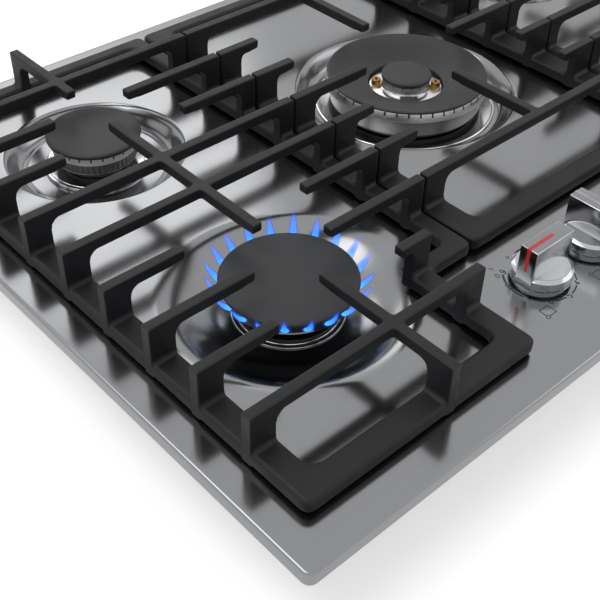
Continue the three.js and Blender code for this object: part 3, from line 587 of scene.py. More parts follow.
# For each finish: its effect, its colour among the finishes and a factor on it, the depth of its
# relief in millimetres, the effect's settings in the order above, and the shader's own.
FINISHES = {
    "pressed_steel": (LINES, "steel", 1.0, 0.0002, (0.145, 0.05, 0.05), METAL),
    # The casting skin's last two settings paint a highlight on outward edges, in every finish below that uses it.
    "matt_casting": (SKIN, "casting", 1.0, 0.03, (0.52, 0.9, "casting_edge_highlight"), {"Specular IOR Level": 0.3}),
    "matt_enamel": (SKIN, "enamel", 1.0, 0.02, (0.5, 0.4, "casting_edge_highlight"), {"Specular IOR Level": 0.35}),
    "satin_aluminium": (RINGS, "aluminium", 1.0, 0.002, (0.3, 0.1, 0.1), METAL),
    "bright_aluminium": (RINGS, "aluminium", 1.12, 0.001, (0.14, 0.08, 0.05), METAL),
    # Painted shade: two darker copies of the aluminium, a half shade at a fifth of its colour and a deep shade, for
    # the burners' shaded faces.
    "dull_aluminium": (RINGS, "aluminium", 0.21, 0.002, (0.27, 0.16, 0.12), METAL),
    "shaded_aluminium": (RINGS, "shaded", 1.0, 0.002, (0.34, 0.12, 0.12), METAL),
    "satin_chrome": (RINGS, "chrome", 1.0, 0.0006, (0.13, 0.03, 0.05), METAL),
    "turned_brass": (RINGS, "brass", 1.0, 0.001, (0.28, 0.1, 0.12), METAL),
    "unglazed_ceramic": (SKIN, "ceramic", 1.0, 0.01, (0.45, 0.5, (0.7, 0.66, 0.56)), {}),
    "galvanised_sheet": (LINES, "galvanised", 1.0, 0.002, (0.42, 0.1, 0.2), {"Metallic": 0.9}),
    "drawn_aluminium": (LINES, "tube", 1.0, 0.002, (0.34, 0.08, 0.12), METAL),
    "closed_cell_foam": (SKIN, "foam", 1.0, 0.08, (0.85, 0.3, (0.035, 0.035, 0.036)), {}),
    "moulded_plastic": (SKIN, "plastic", 1.0, 0.012, (0.5, 0.4, (0.07, 0.07, 0.072)), {}),
    "dial_print": (SKIN, "print_ink", 1.0, 0.004, (0.4, 0.3, (0.06, 0.06, 0.062)), {}),
    "window_lit": (SKIN, "window_lit", 1.0, 0.004, (0.3, 0.3, (0.6, 0.1, 0.08)), GLOW),
    "window_dark": (SKIN, "window_dark", 1.0, 0.004, (0.3, 0.3, (0.5, 0.5, 0.5)), {}),
}


def set_socket(socket, value, finishes):
    """Sets a number, a colour, or a colour given by its name among the finishes."""
    if isinstance(value, str):
        value = getattr(finishes, value)
    socket.default_value = value if isinstance(value, float) else (*value, 1.0)


def surface(name):
    """A material of the table above, with colour, roughness and relief from its shared effect."""
    known = bpy.data.materials.get(name)
    if known:
        return known
    finishes = bpy.context.scene.cooktop.finishes
    effect, base, factor, relief_mm, settings, own = FINISHES[name]
    material = bpy.data.materials.new(name)
    material.use_nodes = True
    tree = material.node_tree
    shader = tree.nodes["Principled BSDF"]
    node = tree.nodes.new("ShaderNodeGroup")
    node.node_tree = bpy.data.node_groups.get(effect) or EFFECTS[effect](effect)
    set_socket(node.inputs["Colour"], [min(1.0, factor * c) for c in getattr(finishes, base)], finishes)
    for label, value in zip(EFFECT_SETTINGS[effect], settings):
        set_socket(node.inputs[label], value, finishes)
    relief = tree.nodes.new("ShaderNodeBump")
    relief.inputs["Distance"].default_value = relief_mm * MM
    relief.inputs["Strength"].default_value = 1.0
    tree.links.new(node.outputs["Colour"], shader.inputs["Base Color"])
    tree.links.new(node.outputs["Roughness"], shader.inputs["Roughness"])
    tree.links.new(node.outputs["Height"], relief.inputs["Height"])
    tree.links.new(relief.outputs["Normal"], shader.inputs["Normal"])
    for label, value in own.items():
        set_socket(shader.inputs[label], value, finishes)
    return material


def flame(core):
    """Glowing gas: clear at its tip, with the brightness from the place along the flame."""
    name = "flame_core" if core else "flame_mantle"
    known = bpy.data.materials.get(name)
    if known:
        return known
    base = tuple(getattr(bpy.context.scene.cooktop.finishes, name))
    root = (0.1, 0.62, 1.0) if core else tuple(0.6 * c for c in base)
    material = bpy.data.materials.new(name)
    material.use_nodes = True
    tree = material.node_tree
    shader = tree.nodes["Principled BSDF"]
    along = tree.nodes.new("ShaderNodeAttribute")
    along.attribute_name = "along"
    coordinates = tree.nodes.new("ShaderNodeTexCoord").outputs["Object"]
    flicker = stretched_noise(tree, coordinates, (1, 1, 0.4), 2.0, 260.0)
    place_along = maths(tree, "ADD", along.outputs["Fac"], spread(tree, flicker, -0.07, 0.07))
    glow = blended(tree, spread(tree, place_along, 0.0, 1.0, 0.0, 0.45), root, base)
    tree.links.new(glow, shader.inputs["Emission Color"])
    fade = spread(tree, place_along, 0.5 if core else 0.22, 0.0, 0.5, 1.0)
    # Faint in mirrored views, so that the bright top doesn't turn blue.
    mirrored = tree.nodes.new("ShaderNodeLightPath").outputs["Is Glossy Ray"]
    seen = maths(tree, "MULTIPLY", fade, spread(tree, mirrored, 1.0, 0.08))
    tree.links.new(seen, shader.inputs["Alpha"])
    shader.inputs["Base Color"].default_value = (0.0, 0.0, 0.0, 1.0)
    shader.inputs["Specular IOR Level"].default_value = 0.0
    shader.inputs["Roughness"].default_value = 1.0
    shader.inputs["Emission Strength"].default_value = 1.7 if core else 1.8
    return material


# ---- Burner sizes: what the frame's own boxes don't say ----

# Radii and heights in millimetres; heights are above the floor of the well.
FRONT = {
    "foot": 47.0, "run": 44.0, "bead": False, "cup": 28.0, "flange": 39.2, "flange_top": 1.0, "boss": 2.6,
    "neck": 30.0, "neck_top": 9.0, "flare_top": 16.0, "head": 43.8, "head_top": 25.0, "band": 19.0,
    "ports": 20, "flutes": 0,
}
REAR = {
    "foot": 57.0, "run": 15.0, "bead": True, "cup": 22.0, "flange": 40.5, "flange_top": 2.7, "boss": 0.0,
    "neck": 25.0, "neck_top": 9.5, "flare_top": 11.0, "head": 33.6, "head_top": 26.0, "band": 20.0,
    "ports": 24, "flutes": 48,
}
CENTRE = {"foot": 81.0, "run": 15.0, "bead": False, "cup": 56.0}
WALL = 3.0
GAP = 0.3
PORT_DEPTH = 3.2
BURNER = ("cooktop", "burner_aluminium")
# Bright and satin are finishes of the aluminium; the last two are its painted half shade and deep shade.
BRIGHT, SATIN, PAINTED_HALF_SHADE, PAINTED_DEEP_SHADE = (f"{kind}_aluminium" for kind in ("bright", "satin", "dull", "shaded"))


def burner_kind(side):
    if side == "centre":
        return CENTRE
    return FRONT if side.startswith("front") else REAR


def burner_middle(side):
    return middle_of("burner_cap_ring" if side == "centre" else f"burner_cap_{side}")


def well_floor(settings):
    return PLATE_TOP - settings.sizes.well_depth / MM


# ---- Pressed top ----


def well_wall(kind, settings):
    """A well's wall from the flat sheet down to its floor, as (radius, height)."""
    depth, bead = settings.sizes.well_depth / MM, settings.sizes.well_bead / MM
    foot, run, floor = kind["foot"], kind["run"], well_floor(settings)
    # A narrow flat ring at each end keeps the flat sheet beside the wall truly flat in reflections.
    wall = [(foot + run + 1.0, PLATE_TOP)]
    for i in range(WALL_STEPS + 1):
        share = 1 - i / WALL_STEPS
        wall.append((foot + run * share, PLATE_TOP - depth * (1 + math.cos(math.pi * share)) / 2))
    if kind["bead"]:
        for i in range(1, FOLD_STEPS + 1):
            wall.append((foot - 2.4 * i / FOLD_STEPS, floor + bead * math.sin(math.pi * i / FOLD_STEPS)))
    wall.append((wall[-1][0] - 0.8, floor))
    return wall


def build_top(settings):
    sizes = settings.sizes
    edge, corner = sizes.plate_edge / MM, sizes.plate_corner / MM

    def outline_at(bm, inset, height):
        half_x, half_y = PLATE_WIDTH / 2 - inset, PLATE_DEPTH / 2 - inset
        return loop_of(bm, rounded_rectangle(half_x, half_y, corner - inset), height)

    bm = bmesh.new()
    rings = []
    for i in range(FOLD_STEPS + 1):
        angle = i / FOLD_STEPS * math.pi / 2
        rings.append(outline_at(bm, edge * (1 - math.sin(angle)), PLATE_TOP - edge * (1 - math.cos(angle))))
    rings.append(outline_at(bm, 0, PLATE_TOP - sizes.lip_drop / MM))
    join_all(bm, rings)
    holes = []
    for side in (*SIDES, "centre"):
        kind, middle = burner_kind(side), burner_middle(side)
        loops = [ring_of(bm, radius, height, 128, middle) for radius, height in well_wall(kind, settings)]
        join_all(bm, loops)
        holes.append(loops[0])
        floor = well_floor(settings)
        inside = [ring_of(bm, kind["cup"] + GAP, floor, 64, middle)]
        if side != "centre":
            inside.append(ring_of(bm, 3.3, floor, 16, middle_of(f"spark_pin_{side}")))
        fill_flat(bm, loops[-1], *inside)
    for number in KNOBS:
        holes.append(ring_of(bm, 5.0, PLATE_TOP, 24, middle_of(f"valve_stem_{number}")))
    guard = outline_at(bm, edge + 1.0, PLATE_TOP)
    join_rings(bm, rings[0], guard)
    fill_flat(bm, guard, *holes)
    mesh = sheet_mesh(bm, "pressed_top", sizes.sheet, 1)
    place("pressed_top", mesh, "cooktop", "brushed_steel", "pressed_steel", instead_of=("cooktop_plate",))


# ---- Underside ----


def screw(bm, middle, outward):
    """A pan-head screw on a side wall, with a cross slot; outward is -1 or 1 along X."""
    part = turned_part([(0, 2.2, 0), (3.4, 2.2, 1.2), (4.0, 0, 0), (0, 0, 0)], 20)
    for turned in (0, math.pi / 2):
        for vert in part.verts:
            if vert.co.z > 2.0 and abs(vert.co.x) < 0.5 and abs(vert.co.y) < 2:
                vert.co.z -= 0.5
        bmesh.ops.rotate(part, cent=(0, 0, 0), matrix=Matrix.Rotation(turned, 3, "Z"), verts=part.verts)
    over = Matrix.Rotation(outward * math.pi / 2, 3, "Y")
    bmesh.ops.rotate(part, cent=(0, 0, 0), matrix=over, verts=part.verts)
    bmesh.ops.translate(part, vec=middle, verts=part.verts)
    take_in(bm, part)


def build_tray():
    """The sheet tray below the top, with folded lower edges and two rows of vents."""
    half_x, half_y = half_size_of("burner_box")
    middle = middle_of("burner_box")
    corner, fold = 12.0, 3.0

    def outline_at(bm, inset, height):
        outline = rounded_rectangle(half_x - inset, half_y - inset, corner - inset, 6, middle)
        return loop_of(bm, outline, height)

    bm = bmesh.new()
    rings = [outline_at(bm, 0, top_of("burner_box"))]
    for i in range(FOLD_STEPS + 1):
        angle = i / FOLD_STEPS * math.pi / 2
        rings.append(outline_at(bm, fold * (1 - math.cos(angle)), fold * (1 - math.sin(angle))))
    rings.append(outline_at(bm, fold + 2.0, 0.0))
    join_all(bm, rings)
    vents = []
    for side in (-1, 1):
        for i in range(5):
            vent_middle = (middle[0] + side * 120.0, middle[1] + half_y - 68.0 - 14.0 * i)
            vents.append(loop_of(bm, rounded_rectangle(30.0, 3.0, 2.9, 4, vent_middle), 0.0))
    fill_flat(bm, rings[-1], *vents)
    mesh = sheet_mesh(bm, "underside_tray", 1.2 * MM, -1)
    place("underside_tray", mesh, "cooktop", "galvanised_steel", "galvanised_sheet", instead_of=("burner_box",))


def build_underside():
    build_tray()
    looks = {
        "edge_seal": "closed_cell_foam",
        "left_bracket": "galvanised_sheet",
        "right_bracket": "galvanised_sheet",
        "gas_rail": "galvanised_sheet",
        "gas_inlet": "turned_brass",
        "spark_generator": "moulded_plastic",
    }
    for side in (*SIDES, "centre"):
        looks[f"supply_tube_{side}"] = "drawn_aluminium"
    for number in KNOBS:
        looks[f"valve_stem_{number}"] = "galvanised_sheet"
        looks[f"valve_plug_{number}"] = "turned_brass"
        looks[f"valve_body_{number}"] = "drawn_aluminium"
    for node, look in looks.items():
        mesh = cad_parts[node].data
        mesh.materials.clear()
        mesh.materials.append(surface(look))
    bm = bmesh.new()
    for node, outward in (("left_bracket", -1), ("right_bracket", 1)):
        low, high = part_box(node)
        face = (low.x if outward < 0 else high.x) / MM
        height = (low.z * 0.45 + high.z * 0.55) / MM
        for share in (0.2, 0.8):
            screw(bm, (face, (low.y * (1 - share) + high.y * share) / MM, height), outward)
    add_piece("bracket_screws", bm, "cooktop", "galvanised_steel", "galvanised_sheet")


# ---- Burners ----


def slotted_part(plain, slotted, count, width, radius, between=3):
    """A ring with evenly spaced slots: two columns at each wall of a slot, and some between slots."""
    half = width / 2 / radius
    thin = 0.02 / radius
    pitch = 2 * math.pi / count
    start, end = half + thin, pitch - half - thin
    angles = []
    profiles = []
    for i in range(count):
        middle = (i + 0.5) * pitch
        angles += [middle - half, middle + half]
        profiles += [slotted, slotted]
        for k in range(between + 2):
            angles.append(middle + start + (end - start) * k / (between + 1))
            profiles.append(plain)
    bm = bmesh.new()
    turn(bm, profiles, angles, closed=True)
    return bm


def cup_corners(kind, floor):
    """The cup under a head, with its bright flange."""
    cup, flange, top = kind["cup"], kind["flange"], floor + kind["flange_top"]
    low = floor + GAP
    neck, boss = kind["neck"], kind["boss"]
    outside = [(0, floor - 26, 0), (cup, floor - 26, 2.0), (cup, low, 0.2), (flange, low, 0.15), (flange, top, 0.3)]
    bead = [(2.6, 0, 0.1), (2.9, 0.35, 0.1), (3.5, 0.35, 0.1), (3.8, 0, 0.1), (4.2, 0, 0.1)]
    raised = [(flange - 4.3, top + boss, 1.2), (neck + 1.0, top + boss, 1.2)] if boss else []
    inside = [(neck + 0.8, top, 0.1), (cup - WALL, top, 0.6), (cup - WALL, floor - 23, 1.5), (0, floor - 23, 0)]
    return [*outside, *((flange - inset, top - drop, r) for inset, drop, r in bead), *raised, *inside]


def head_profiles(kind, floor):
    """A head's section between ports and at a port."""
    bottom = floor + kind["flange_top"] + GAP
    neck, head = kind["neck"], kind["head"]
    flare, rim = floor + kind["flare_top"], floor + kind["head_top"]
    inside = [
        (head - WALL, flare + WALL, 0.5),
        (kind["cup"] - WALL, floor + kind["neck_top"] + WALL, 0.5),
        (kind["cup"] - WALL, bottom, 0.2),
    ]
    band = floor + kind["band"]
    outside = [
        (neck, bottom, 0.3),
        (neck, floor + kind["neck_top"], 1.0),
        (head - 1.0, flare, 0.6),
        (head - 1.0, flare + 0.8, 0.1),
        (head - 1.0, band - 0.8, 0.1),
        (head, band - 0.2, 0.1),
        (head, band, 0.1),
    ]
    plain = [*outside, (head, rim, 0.3), (head - WALL, rim, 0.3), *inside]
    ported = [*outside, (head, rim - PORT_DEPTH, 0.1), (head - WALL, rim - PORT_DEPTH, 0.3), *inside]
    return rounded_path(plain, 3, True), rounded_path(ported, 3, True)


def cut_flutes(bm, kind, floor, depth=0.8):
    """Shallow upright flutes in a head's wall, between its foot and its band."""
    low, high = floor + kind["flare_top"] + 0.4, floor + kind["band"] - 0.9
    for vert in bm.verts:
        radius = math.hypot(vert.co.x, vert.co.y)
        if radius > kind["head"] - 1.5 and low < vert.co.z < high:
            wave = 0.5 - 0.5 * math.cos(kind["flutes"] * math.atan2(vert.co.y, vert.co.x))
            scale = 1 - depth * wave / radius
            vert.co.x *= scale
            vert.co.y *= scale


def build_cap(name, node, at, sides):
    """A cap with a rounded rim and a very slightly crowned face."""
    radius, bottom, top = half_size_of(node)[0], bottom_of(node), top_of(node)
    corners = [
        (0, bottom, 0), (radius - 5.0, bottom, 0.4), (radius - 0.6, bottom + 0.4, 0.9), (radius, top - 1.0, 1.1),
        (radius - 2.0, top - 0.12, 1.2), (radius * 0.55, top, 4.0), (0, top, 0),
    ]
    part = turned_part(corners, sides, 5)
    add_piece(name, part, node, "cap_enamel", "matt_enamel", instead_of=(node,), at=at)


def build_pin(name, node, floor):
    """A ceramic spark pin on a collar, with its bent tip."""
    low, top, seat = bottom_of(node), top_of(node), floor + GAP
    corners = [
        (0, low, 0), (3.0, low, 0.4), (3.0, seat, 0.1), (4.5, seat, 0.4), (4.5, seat + 2, 0.5),
        (3.0, seat + 2, 0.2), (2.8, floor + 14, 0.8), (1.0, floor + 14.2, 0.2), (1.0, top - 1.0, 0.5),
        (0, top - 0.6, 0),
    ]
    bm = turned_part(corners, 24)
    tip = bmesh.new()
    rounded_block(tip, (-0.9, -4.9, top - 1.9), (0.9, 4.9, top - 0.1), 0.5)
    take_in(bm, tip, math.pi / 4)
    add_piece(name, bm, "cooktop", "ceramic", "unglazed_ceramic", instead_of=(node,), at=middle_of(node))


def build_lighting_rail(side, at, floor):
    """A short curved rail that carries the flame from port to port."""
    toward = math.radians(235 if side == "front_left" else 305)
    section = ((42.4, 17.2), (43.3, 17.2), (43.3, 18.8), (42.4, 18.8))
    bm = bmesh.new()
    rows = []
    for i in range(13):
        angle = toward + math.radians(15) * (i / 6 - 1)
        cos, sin = math.cos(angle), math.sin(angle)
        rows.append([bm.verts.new((r * cos, r * sin, floor + z)) for r, z in section])
    join_all(bm, rows)
    bm.faces.new(rows[0])
    bm.faces.new(rows[-1])
    add_piece(f"lighting_rail_{side}", bm, *BURNER, BRIGHT, at=at)


def build_side_burner(side, settings):
    kind, at, floor = burner_kind(side), burner_middle(side), well_floor(settings)
    front = kind is FRONT
    # Painted shade: the cup's faces in its bowl, inside this radius, get the deep shade.
    painted_deep_shade_out_to = kind["flange"] - 4.0 if front else kind["neck"]
    add_piece(
        f"cup_{side}",
        turned_part(cup_corners(kind, floor), 96),
        *BURNER,
        BRIGHT,
        PAINTED_DEEP_SHADE,
        tests=[lambda p: math.hypot(p.x, p.y) < painted_deep_shade_out_to and p.z > floor - 24],
        instead_of=(f"burner_cup_{side}",),
        at=at,
    )
    width, between = (2.0, 5) if front else (1.3, 16)
    bm = slotted_part(*head_profiles(kind, floor), kind["ports"], width, kind["head"], between)
    if kind["flutes"]:
        cut_flutes(bm, kind, floor)
    # Painted shade: the head's faces below this height (all of the head on the front burners) and its inner faces
    # get the deep shade; the wall below the band gets the half shade.
    light = floor + (kind["head_top"] + 1 if front else kind["flare_top"] - 0.2)
    add_piece(
        f"head_{side}",
        bm,
        *BURNER,
        SATIN,
        PAINTED_HALF_SHADE,
        PAINTED_DEEP_SHADE,
        sharp=30,
        tests=[
            lambda p: p.z < floor + kind["band"] - 0.6,
            lambda p: p.z < light or math.hypot(p.x, p.y) < kind["head"] - 2,
        ],
        instead_of=(f"burner_head_{side}",),
        at=at,
    )
    if front:
        build_lighting_rail(side, at, floor)
    build_cap(f"cap_{side}", f"burner_cap_{side}", at, 96)
    build_pin(f"pin_{side}", f"spark_pin_{side}", floor)


def build_centre_cup(at, floor):
    top = floor + 2.0
    corners = [
        (0, floor - 26, 0), (56.0, floor - 26, 2.0), (56.0, floor + GAP, 0.2), (78.0, floor + GAP, 0.15),
        (78.0, top - 0.2, 0.8), (76.4, top, 0.3), (75.6, top - 0.7, 0.3), (53.0, top - 0.7, 0.6),
        (53.0, floor - 23, 1.5), (0, floor - 23, 0),
    ]
    bm = turned_part(corners, 128)
    stand = [(0, floor - 25, 0), (17.3, floor - 25, 0), (17.3, floor + 2, 0.4), (0, floor + 2, 0)]
    turn_plain(bm, rounded_path(stand, 3), 48)
    add_piece("cup_centre", bm, *BURNER, BRIGHT, instead_of=("burner_cup_centre",), at=at)


def build_centre_head(at, floor):
    """The outer head: a stepped bright body and a ring with many fine notches."""
    rim, foot = floor + 28.3, floor + 21.3
    low = rim - 3.5
    outside = [
        (61.5, floor + 2.3, 0.3), (61.5, floor + 6.3, 0.4), (65.1, floor + 6.3, 0.4), (66.5, foot - 0.4, 0.3),
        (70.1, foot, 0.3), (69.2, low, 0.01),
    ]
    inside = [
        (64.0, rim, 0.3), (61.5, floor + 10, 0.5), (35.3, floor + 10, 0.5), (35.3, floor + 17.5, 0.2),
        (32.3, floor + 17.5, 0.2), (32.3, floor + 2.3, 0.2),
    ]
    plain = rounded_path([*outside, (68.3, rim - 0.2, 0.1), (67.9, rim, 0.1), *inside], 2, True)
    notch = rounded_path([*outside, (65.4, low, 0.1), (65.4, rim, 0.1), *inside], 2, True)
    add_piece(
        "head_centre",
        slotted_part(plain, notch, 44, 1.3, 68.3),
        *BURNER,
        SATIN,
        PAINTED_HALF_SHADE,
        PAINTED_DEEP_SHADE,
        sharp=30,
        # Painted shade: half shade on the body below the flare's foot, deep shade on the low step and on the notched
        # ring's inner top.
        tests=[
            lambda p: p.z < foot - 0.5,
            lambda p: p.z < floor + 6.2 or (p.z > low - 0.2 and math.hypot(p.x, p.y) < 67.2),
        ],
        instead_of=("burner_head_centre",),
        at=at,
    )


def build_inner_head(at, floor):
    """The small head in the middle on its bright tray."""
    rim = floor + 23.8
    outside = [
        (20.3, floor + 2.3, 0.2), (20.3, floor + 15, 0.2), (31.4, floor + 15, 0.4), (31.4, floor + 17, 0.4),
        (21.0, floor + 17, 0.8), (20.3, floor + 19, 0.3),
    ]
    plain = rounded_path([*outside, (20.3, rim, 0.2), (14.3, rim, 0.2), (14.3, floor + 2.3, 0.2)], 2, True)
    ported = [*outside, (20.3, rim - 1.6, 0.2), (14.3, rim - 2.4, 0.2), (14.3, floor + 2.3, 0.2)]
    add_piece(
        "head_inner",
        slotted_part(plain, rounded_path(ported, 2, True), 16, 0.7, 20.3),
        *BURNER,
        BRIGHT,
        SATIN,
        sharp=30,
        tests=[lambda p: p.z > floor + 18.0 and math.hypot(p.x, p.y) > 19.0],
        instead_of=("burner_head_inner",),
        at=at,
    )


def build_ring_cap(at, floor):
    """The dished ring cap, with its lug that reaches in to the small burner."""
    node = "burner_cap_ring"
    opening, outer, top = 32.3, 68.3, top_of(node)
    dish, under = floor + 19.5, floor + 28.6
    section = [
        (opening, dish - 1.6, 0.5), (65.6, under, 0.5), (outer, under, 0.4), (outer, top - 0.5, 0.6),
        (outer - 1.8, top, 0.8), (outer - 12, top - 2.2, 5.0), (opening + 6, dish + 1.4, 3.0), (opening, dish, 0.6),
    ]
    bm = turned_part(section, 128, 4, closed=True)
    lug = bmesh.new()
    outline = rounded_path([(24.3, -7.35, 1.5), (36.5, -7.35, 0.2), (36.5, 7.35, 0.2), (24.3, 7.35, 1.5)], 4, True)
    upright_prism(lug, outline, dish - 1.6, dish - 0.02)
    take_in(bm, lug, math.radians(229))
    add_piece("cap_ring", bm, node, "cap_enamel", "matt_enamel", instead_of=(node,), at=at)


def build_inner_pins():
    for name, node in (("pin_centre", "spark_pin_centre"), ("sensor_centre", "flame_sensor_centre")):
        low, top = bottom_of(node), top_of(node)
        corners = [
            (0, low, 0), (3.8, low, 0.4), (3.8, top - 8, 0.3), (4.0, top - 7.5, 0.3), (4.0, top - 2.0, 0.9),
            (1.0, top - 2.4, 0.2), (1.0, top - 0.2, 0.5), (0, top, 0),
        ]
        pin = turned_part(corners, 32)
        add_piece(name, pin, "cooktop", "brass", "turned_brass", instead_of=(node,), at=middle_of(node))


def build_centre_burner(settings):
    at, floor = burner_middle("centre"), well_floor(settings)
    build_centre_cup(at, floor)
    build_centre_head(at, floor)
    build_inner_head(at, floor)
    build_ring_cap(at, floor)
    build_cap("cap_inner", "burner_cap_inner", at, 64)
    build_inner_pins()


# ---- Pan supports ----


# Lengths of the supports' posts along their bars, in millimetres, by the frame that they stand on.
SIDE_POST = 19.3
FRONT_POST = 18.5
REAR_POST = 13.3
CENTRE_POST = 14.3
KNOB_POST = 17.0
MIDDLE_POST = 21.8
FOOT_INSET = 6.4
FRAME_BASE = 1.5


class SupportPlan:
    """Places of the supports' bars and frames, worked out from the frame's nodes, in millimetres."""

    bars = 9
    beside_knobs = 175.0

    def __init__(self):
        low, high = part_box("pan_support_left")
        mid_low, mid_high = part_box("pan_support_centre")
        self.side = -low.x / MM
        self.front = low.y / MM
        self.rear = high.y / MM
        self.beside_centre = -high.x / MM
        self.half = mid_high.x / MM
        self.shelf = mid_low.y / MM
        self.first = self.front + 50.5
        self.pitch = (self.rear - 66.1 - self.first) / (self.bars - 1)

    def line(self, number):
        return self.first + (number - 1) * self.pitch


def bar_outline(length_mm, first_post, last_post, sizes):
    """Side view of a bar: posts at the ends that have one, arched into the bar's underside."""
    top = sizes.bar_top / MM
    under = top - sizes.bar_depth / MM
    free = length_mm - first_post - last_post
    taper = min(12, free * 0.5)
    arch = min(sizes.arch / MM, free * 0.4)

    def end(across, post):
        return (across, FRAME_BASE, 0) if post else (across, top - 7.0, 1.6)

    corners = [end(0, first_post), (0, top, 0.8), (length_mm, top, 0.8), end(length_mm, last_post)]
    if last_post:
        corners += [(length_mm - last_post, FRAME_BASE, 0), (length_mm - last_post, under, arch)]
    else:
        corners.append((length_mm - taper, under, 2.0))
    if first_post:
        corners += [(first_post, under, arch), (first_post, FRAME_BASE, 0)]
    else:
        corners.append((taper, under, 2.0))
    return rounded_path(corners, 5, True)


def cast_bar(bm, start, end, first_post, last_post, sizes):
    """A bar between two points of the plan, with fillets where its posts meet the frame."""
    a, b = Vector(start), Vector(end)
    along = (b - a).normalized()
    across = Vector((-along.y, along.x))
    length_mm = (b - a).length
    half = sizes.bar_width / MM / 2

    def point(u, s, v):
        spot = a + along * u + across * s
        return (spot.x, spot.y, PLATE_TOP + v)

    outline = bar_outline(length_mm, first_post, last_post, sizes)
    prism(bm, outline, lambda u, v: point(u, -half, v), lambda u, v: point(u, half, v))
    fillet, foot = sizes.foot_fillet / MM, sizes.frame_top / MM
    skirt = [(half + fillet, foot - 1.0), (half + fillet, foot), (half + 0.9, foot + 0.9), (half, foot + fillet)]
    section = [(-s, z) for s, z in skirt] + [(s, z) for s, z in reversed(skirt)]
    spans = [(1.6, first_post - 1.0)] if first_post else []
    if last_post:
        spans.append((length_mm - last_post + 1.0, length_mm - 1.6))
    for u0, u1 in spans:
        prism(bm, section, lambda s, z: point(u0, s, z), lambda s, z: point(u1, s, z))


def cast_web(bm, middle, sizes, corners=(0, 1, 2, 3)):
    """A small web in the corners where two bars cross; corners count anticlockwise from +X +Y."""
    half = sizes.bar_width / MM / 2
    reach = half + sizes.crossing_web / MM
    x, y = middle
    web = rounded_path([(reach, half - 0.4, 0), (half, half, reach - half), (half - 0.4, reach, 0)], 5)
    outline = []
    for turn_by in range(4):
        for u, v in web if turn_by in corners else [(half - 0.4, half - 0.4)]:
            for _ in range(turn_by):
                u, v = -v, u
            outline.append((x + u, y + v))
    top = PLATE_TOP + sizes.bar_top / MM - 0.3
    depth = sizes.bar_depth / MM - 0.6
    upright_prism(bm, outline, top - depth, top)


def cast_frame(bm, outline, opening, sizes):
    """A support's flat frame: chamfered round its outline and its opening."""
    chamfer = sizes.frame_chamfer / MM
    bottom, top = PLATE_TOP + FRAME_BASE, PLATE_TOP + sizes.frame_top / MM
    edges = []
    for corners, radius, inwards in ((outline, 7.0, 1), (opening, 11.0, -1)):
        outer, inner = (
            rounded_path([(x, y, rounding) for x, y in shape], 5, True)
            for shape, rounding in (
                (corners, radius),
                (inset_corners(corners, inwards * chamfer), radius - inwards * chamfer),
            )
        )
        levels = ((inner, bottom), (outer, bottom + chamfer), (outer, top - chamfer), (inner, top))
        edges.append([loop_of(bm, loop, height) for loop, height in levels])
    for rings in edges:
        join_all(bm, rings)
    for level in (0, -1):
        fill_flat(bm, edges[0][level], edges[1][level])


def cast_feet(bm, places):
    low, high = PLATE_TOP + GAP, PLATE_TOP + 4
    profile = rounded_path([(0, low, 0), (4.6, low, 0.8), (5.0, high, 0), (0, high, 0)], 3)
    for spot in places:
        turn_plain(bm, profile, 20, middle=spot)


def left_casting(plan, sizes):
    bm = bmesh.new()
    side, front, shelf, rear = plan.side, plan.front, plan.shelf, plan.rear
    knobs, centre = plan.beside_knobs, plan.beside_centre
    outline = [(-side, front), (-knobs, front), (-knobs, shelf), (-centre, shelf), (-centre, rear), (-side, rear)]
    opening = [
        (-side + SIDE_POST, front + FRONT_POST),
        (-knobs - KNOB_POST, front + FRONT_POST),
        (-knobs - KNOB_POST, shelf + 14),
        (-centre - CENTRE_POST, shelf + 14),
        (-centre - CENTRE_POST, rear - REAR_POST),
        (-side + SIDE_POST, rear - REAR_POST),
    ]
    cast_frame(bm, outline, opening, sizes)
    x, front_y = burner_middle("front_left")
    rear_y = burner_middle("rear_left")[1]
    # How far from the burners' line the bars stop that end as fingers.
    fingers = {2: 52.5, 3: 32.5, 4: 52.5, 7: 52.5, 8: 32.5}
    for number in range(1, plan.bars + 1):
        y = plan.line(number)
        inner, post = (knobs, KNOB_POST) if y < shelf + 14 else (centre, CENTRE_POST)
        reach = fingers.get(number)
        if reach is None:
            cast_bar(bm, (-side, y), (-inner, y), SIDE_POST, post, sizes)
        else:
            cast_bar(bm, (-side, y), (x - reach, y), SIDE_POST, 0, sizes)
            cast_bar(bm, (-inner, y), (x + reach, y), post, 0, sizes)
    cast_bar(bm, (x, front), (x, front_y - 31.3), FRONT_POST, 0, sizes)
    cast_bar(bm, (x, front_y + 31.3), (x, rear_y - 29.2), 0, 0, sizes)
    cast_bar(bm, (x, rear), (x, rear_y + 26.1), REAR_POST, 0, sizes)
    for number in (1, 5, 6, 9):
        cast_web(bm, (x, plan.line(number)), sizes)
    front_feet = [(-side + SIDE_POST / 2, front + FRONT_POST / 2), (-knobs - KNOB_POST / 2, front + FRONT_POST / 2)]
    rear_feet = [(-side + SIDE_POST / 2, rear - FOOT_INSET), (-centre - FOOT_INSET, rear - FOOT_INSET)]
    cast_feet(bm, front_feet + rear_feet)
    return bm


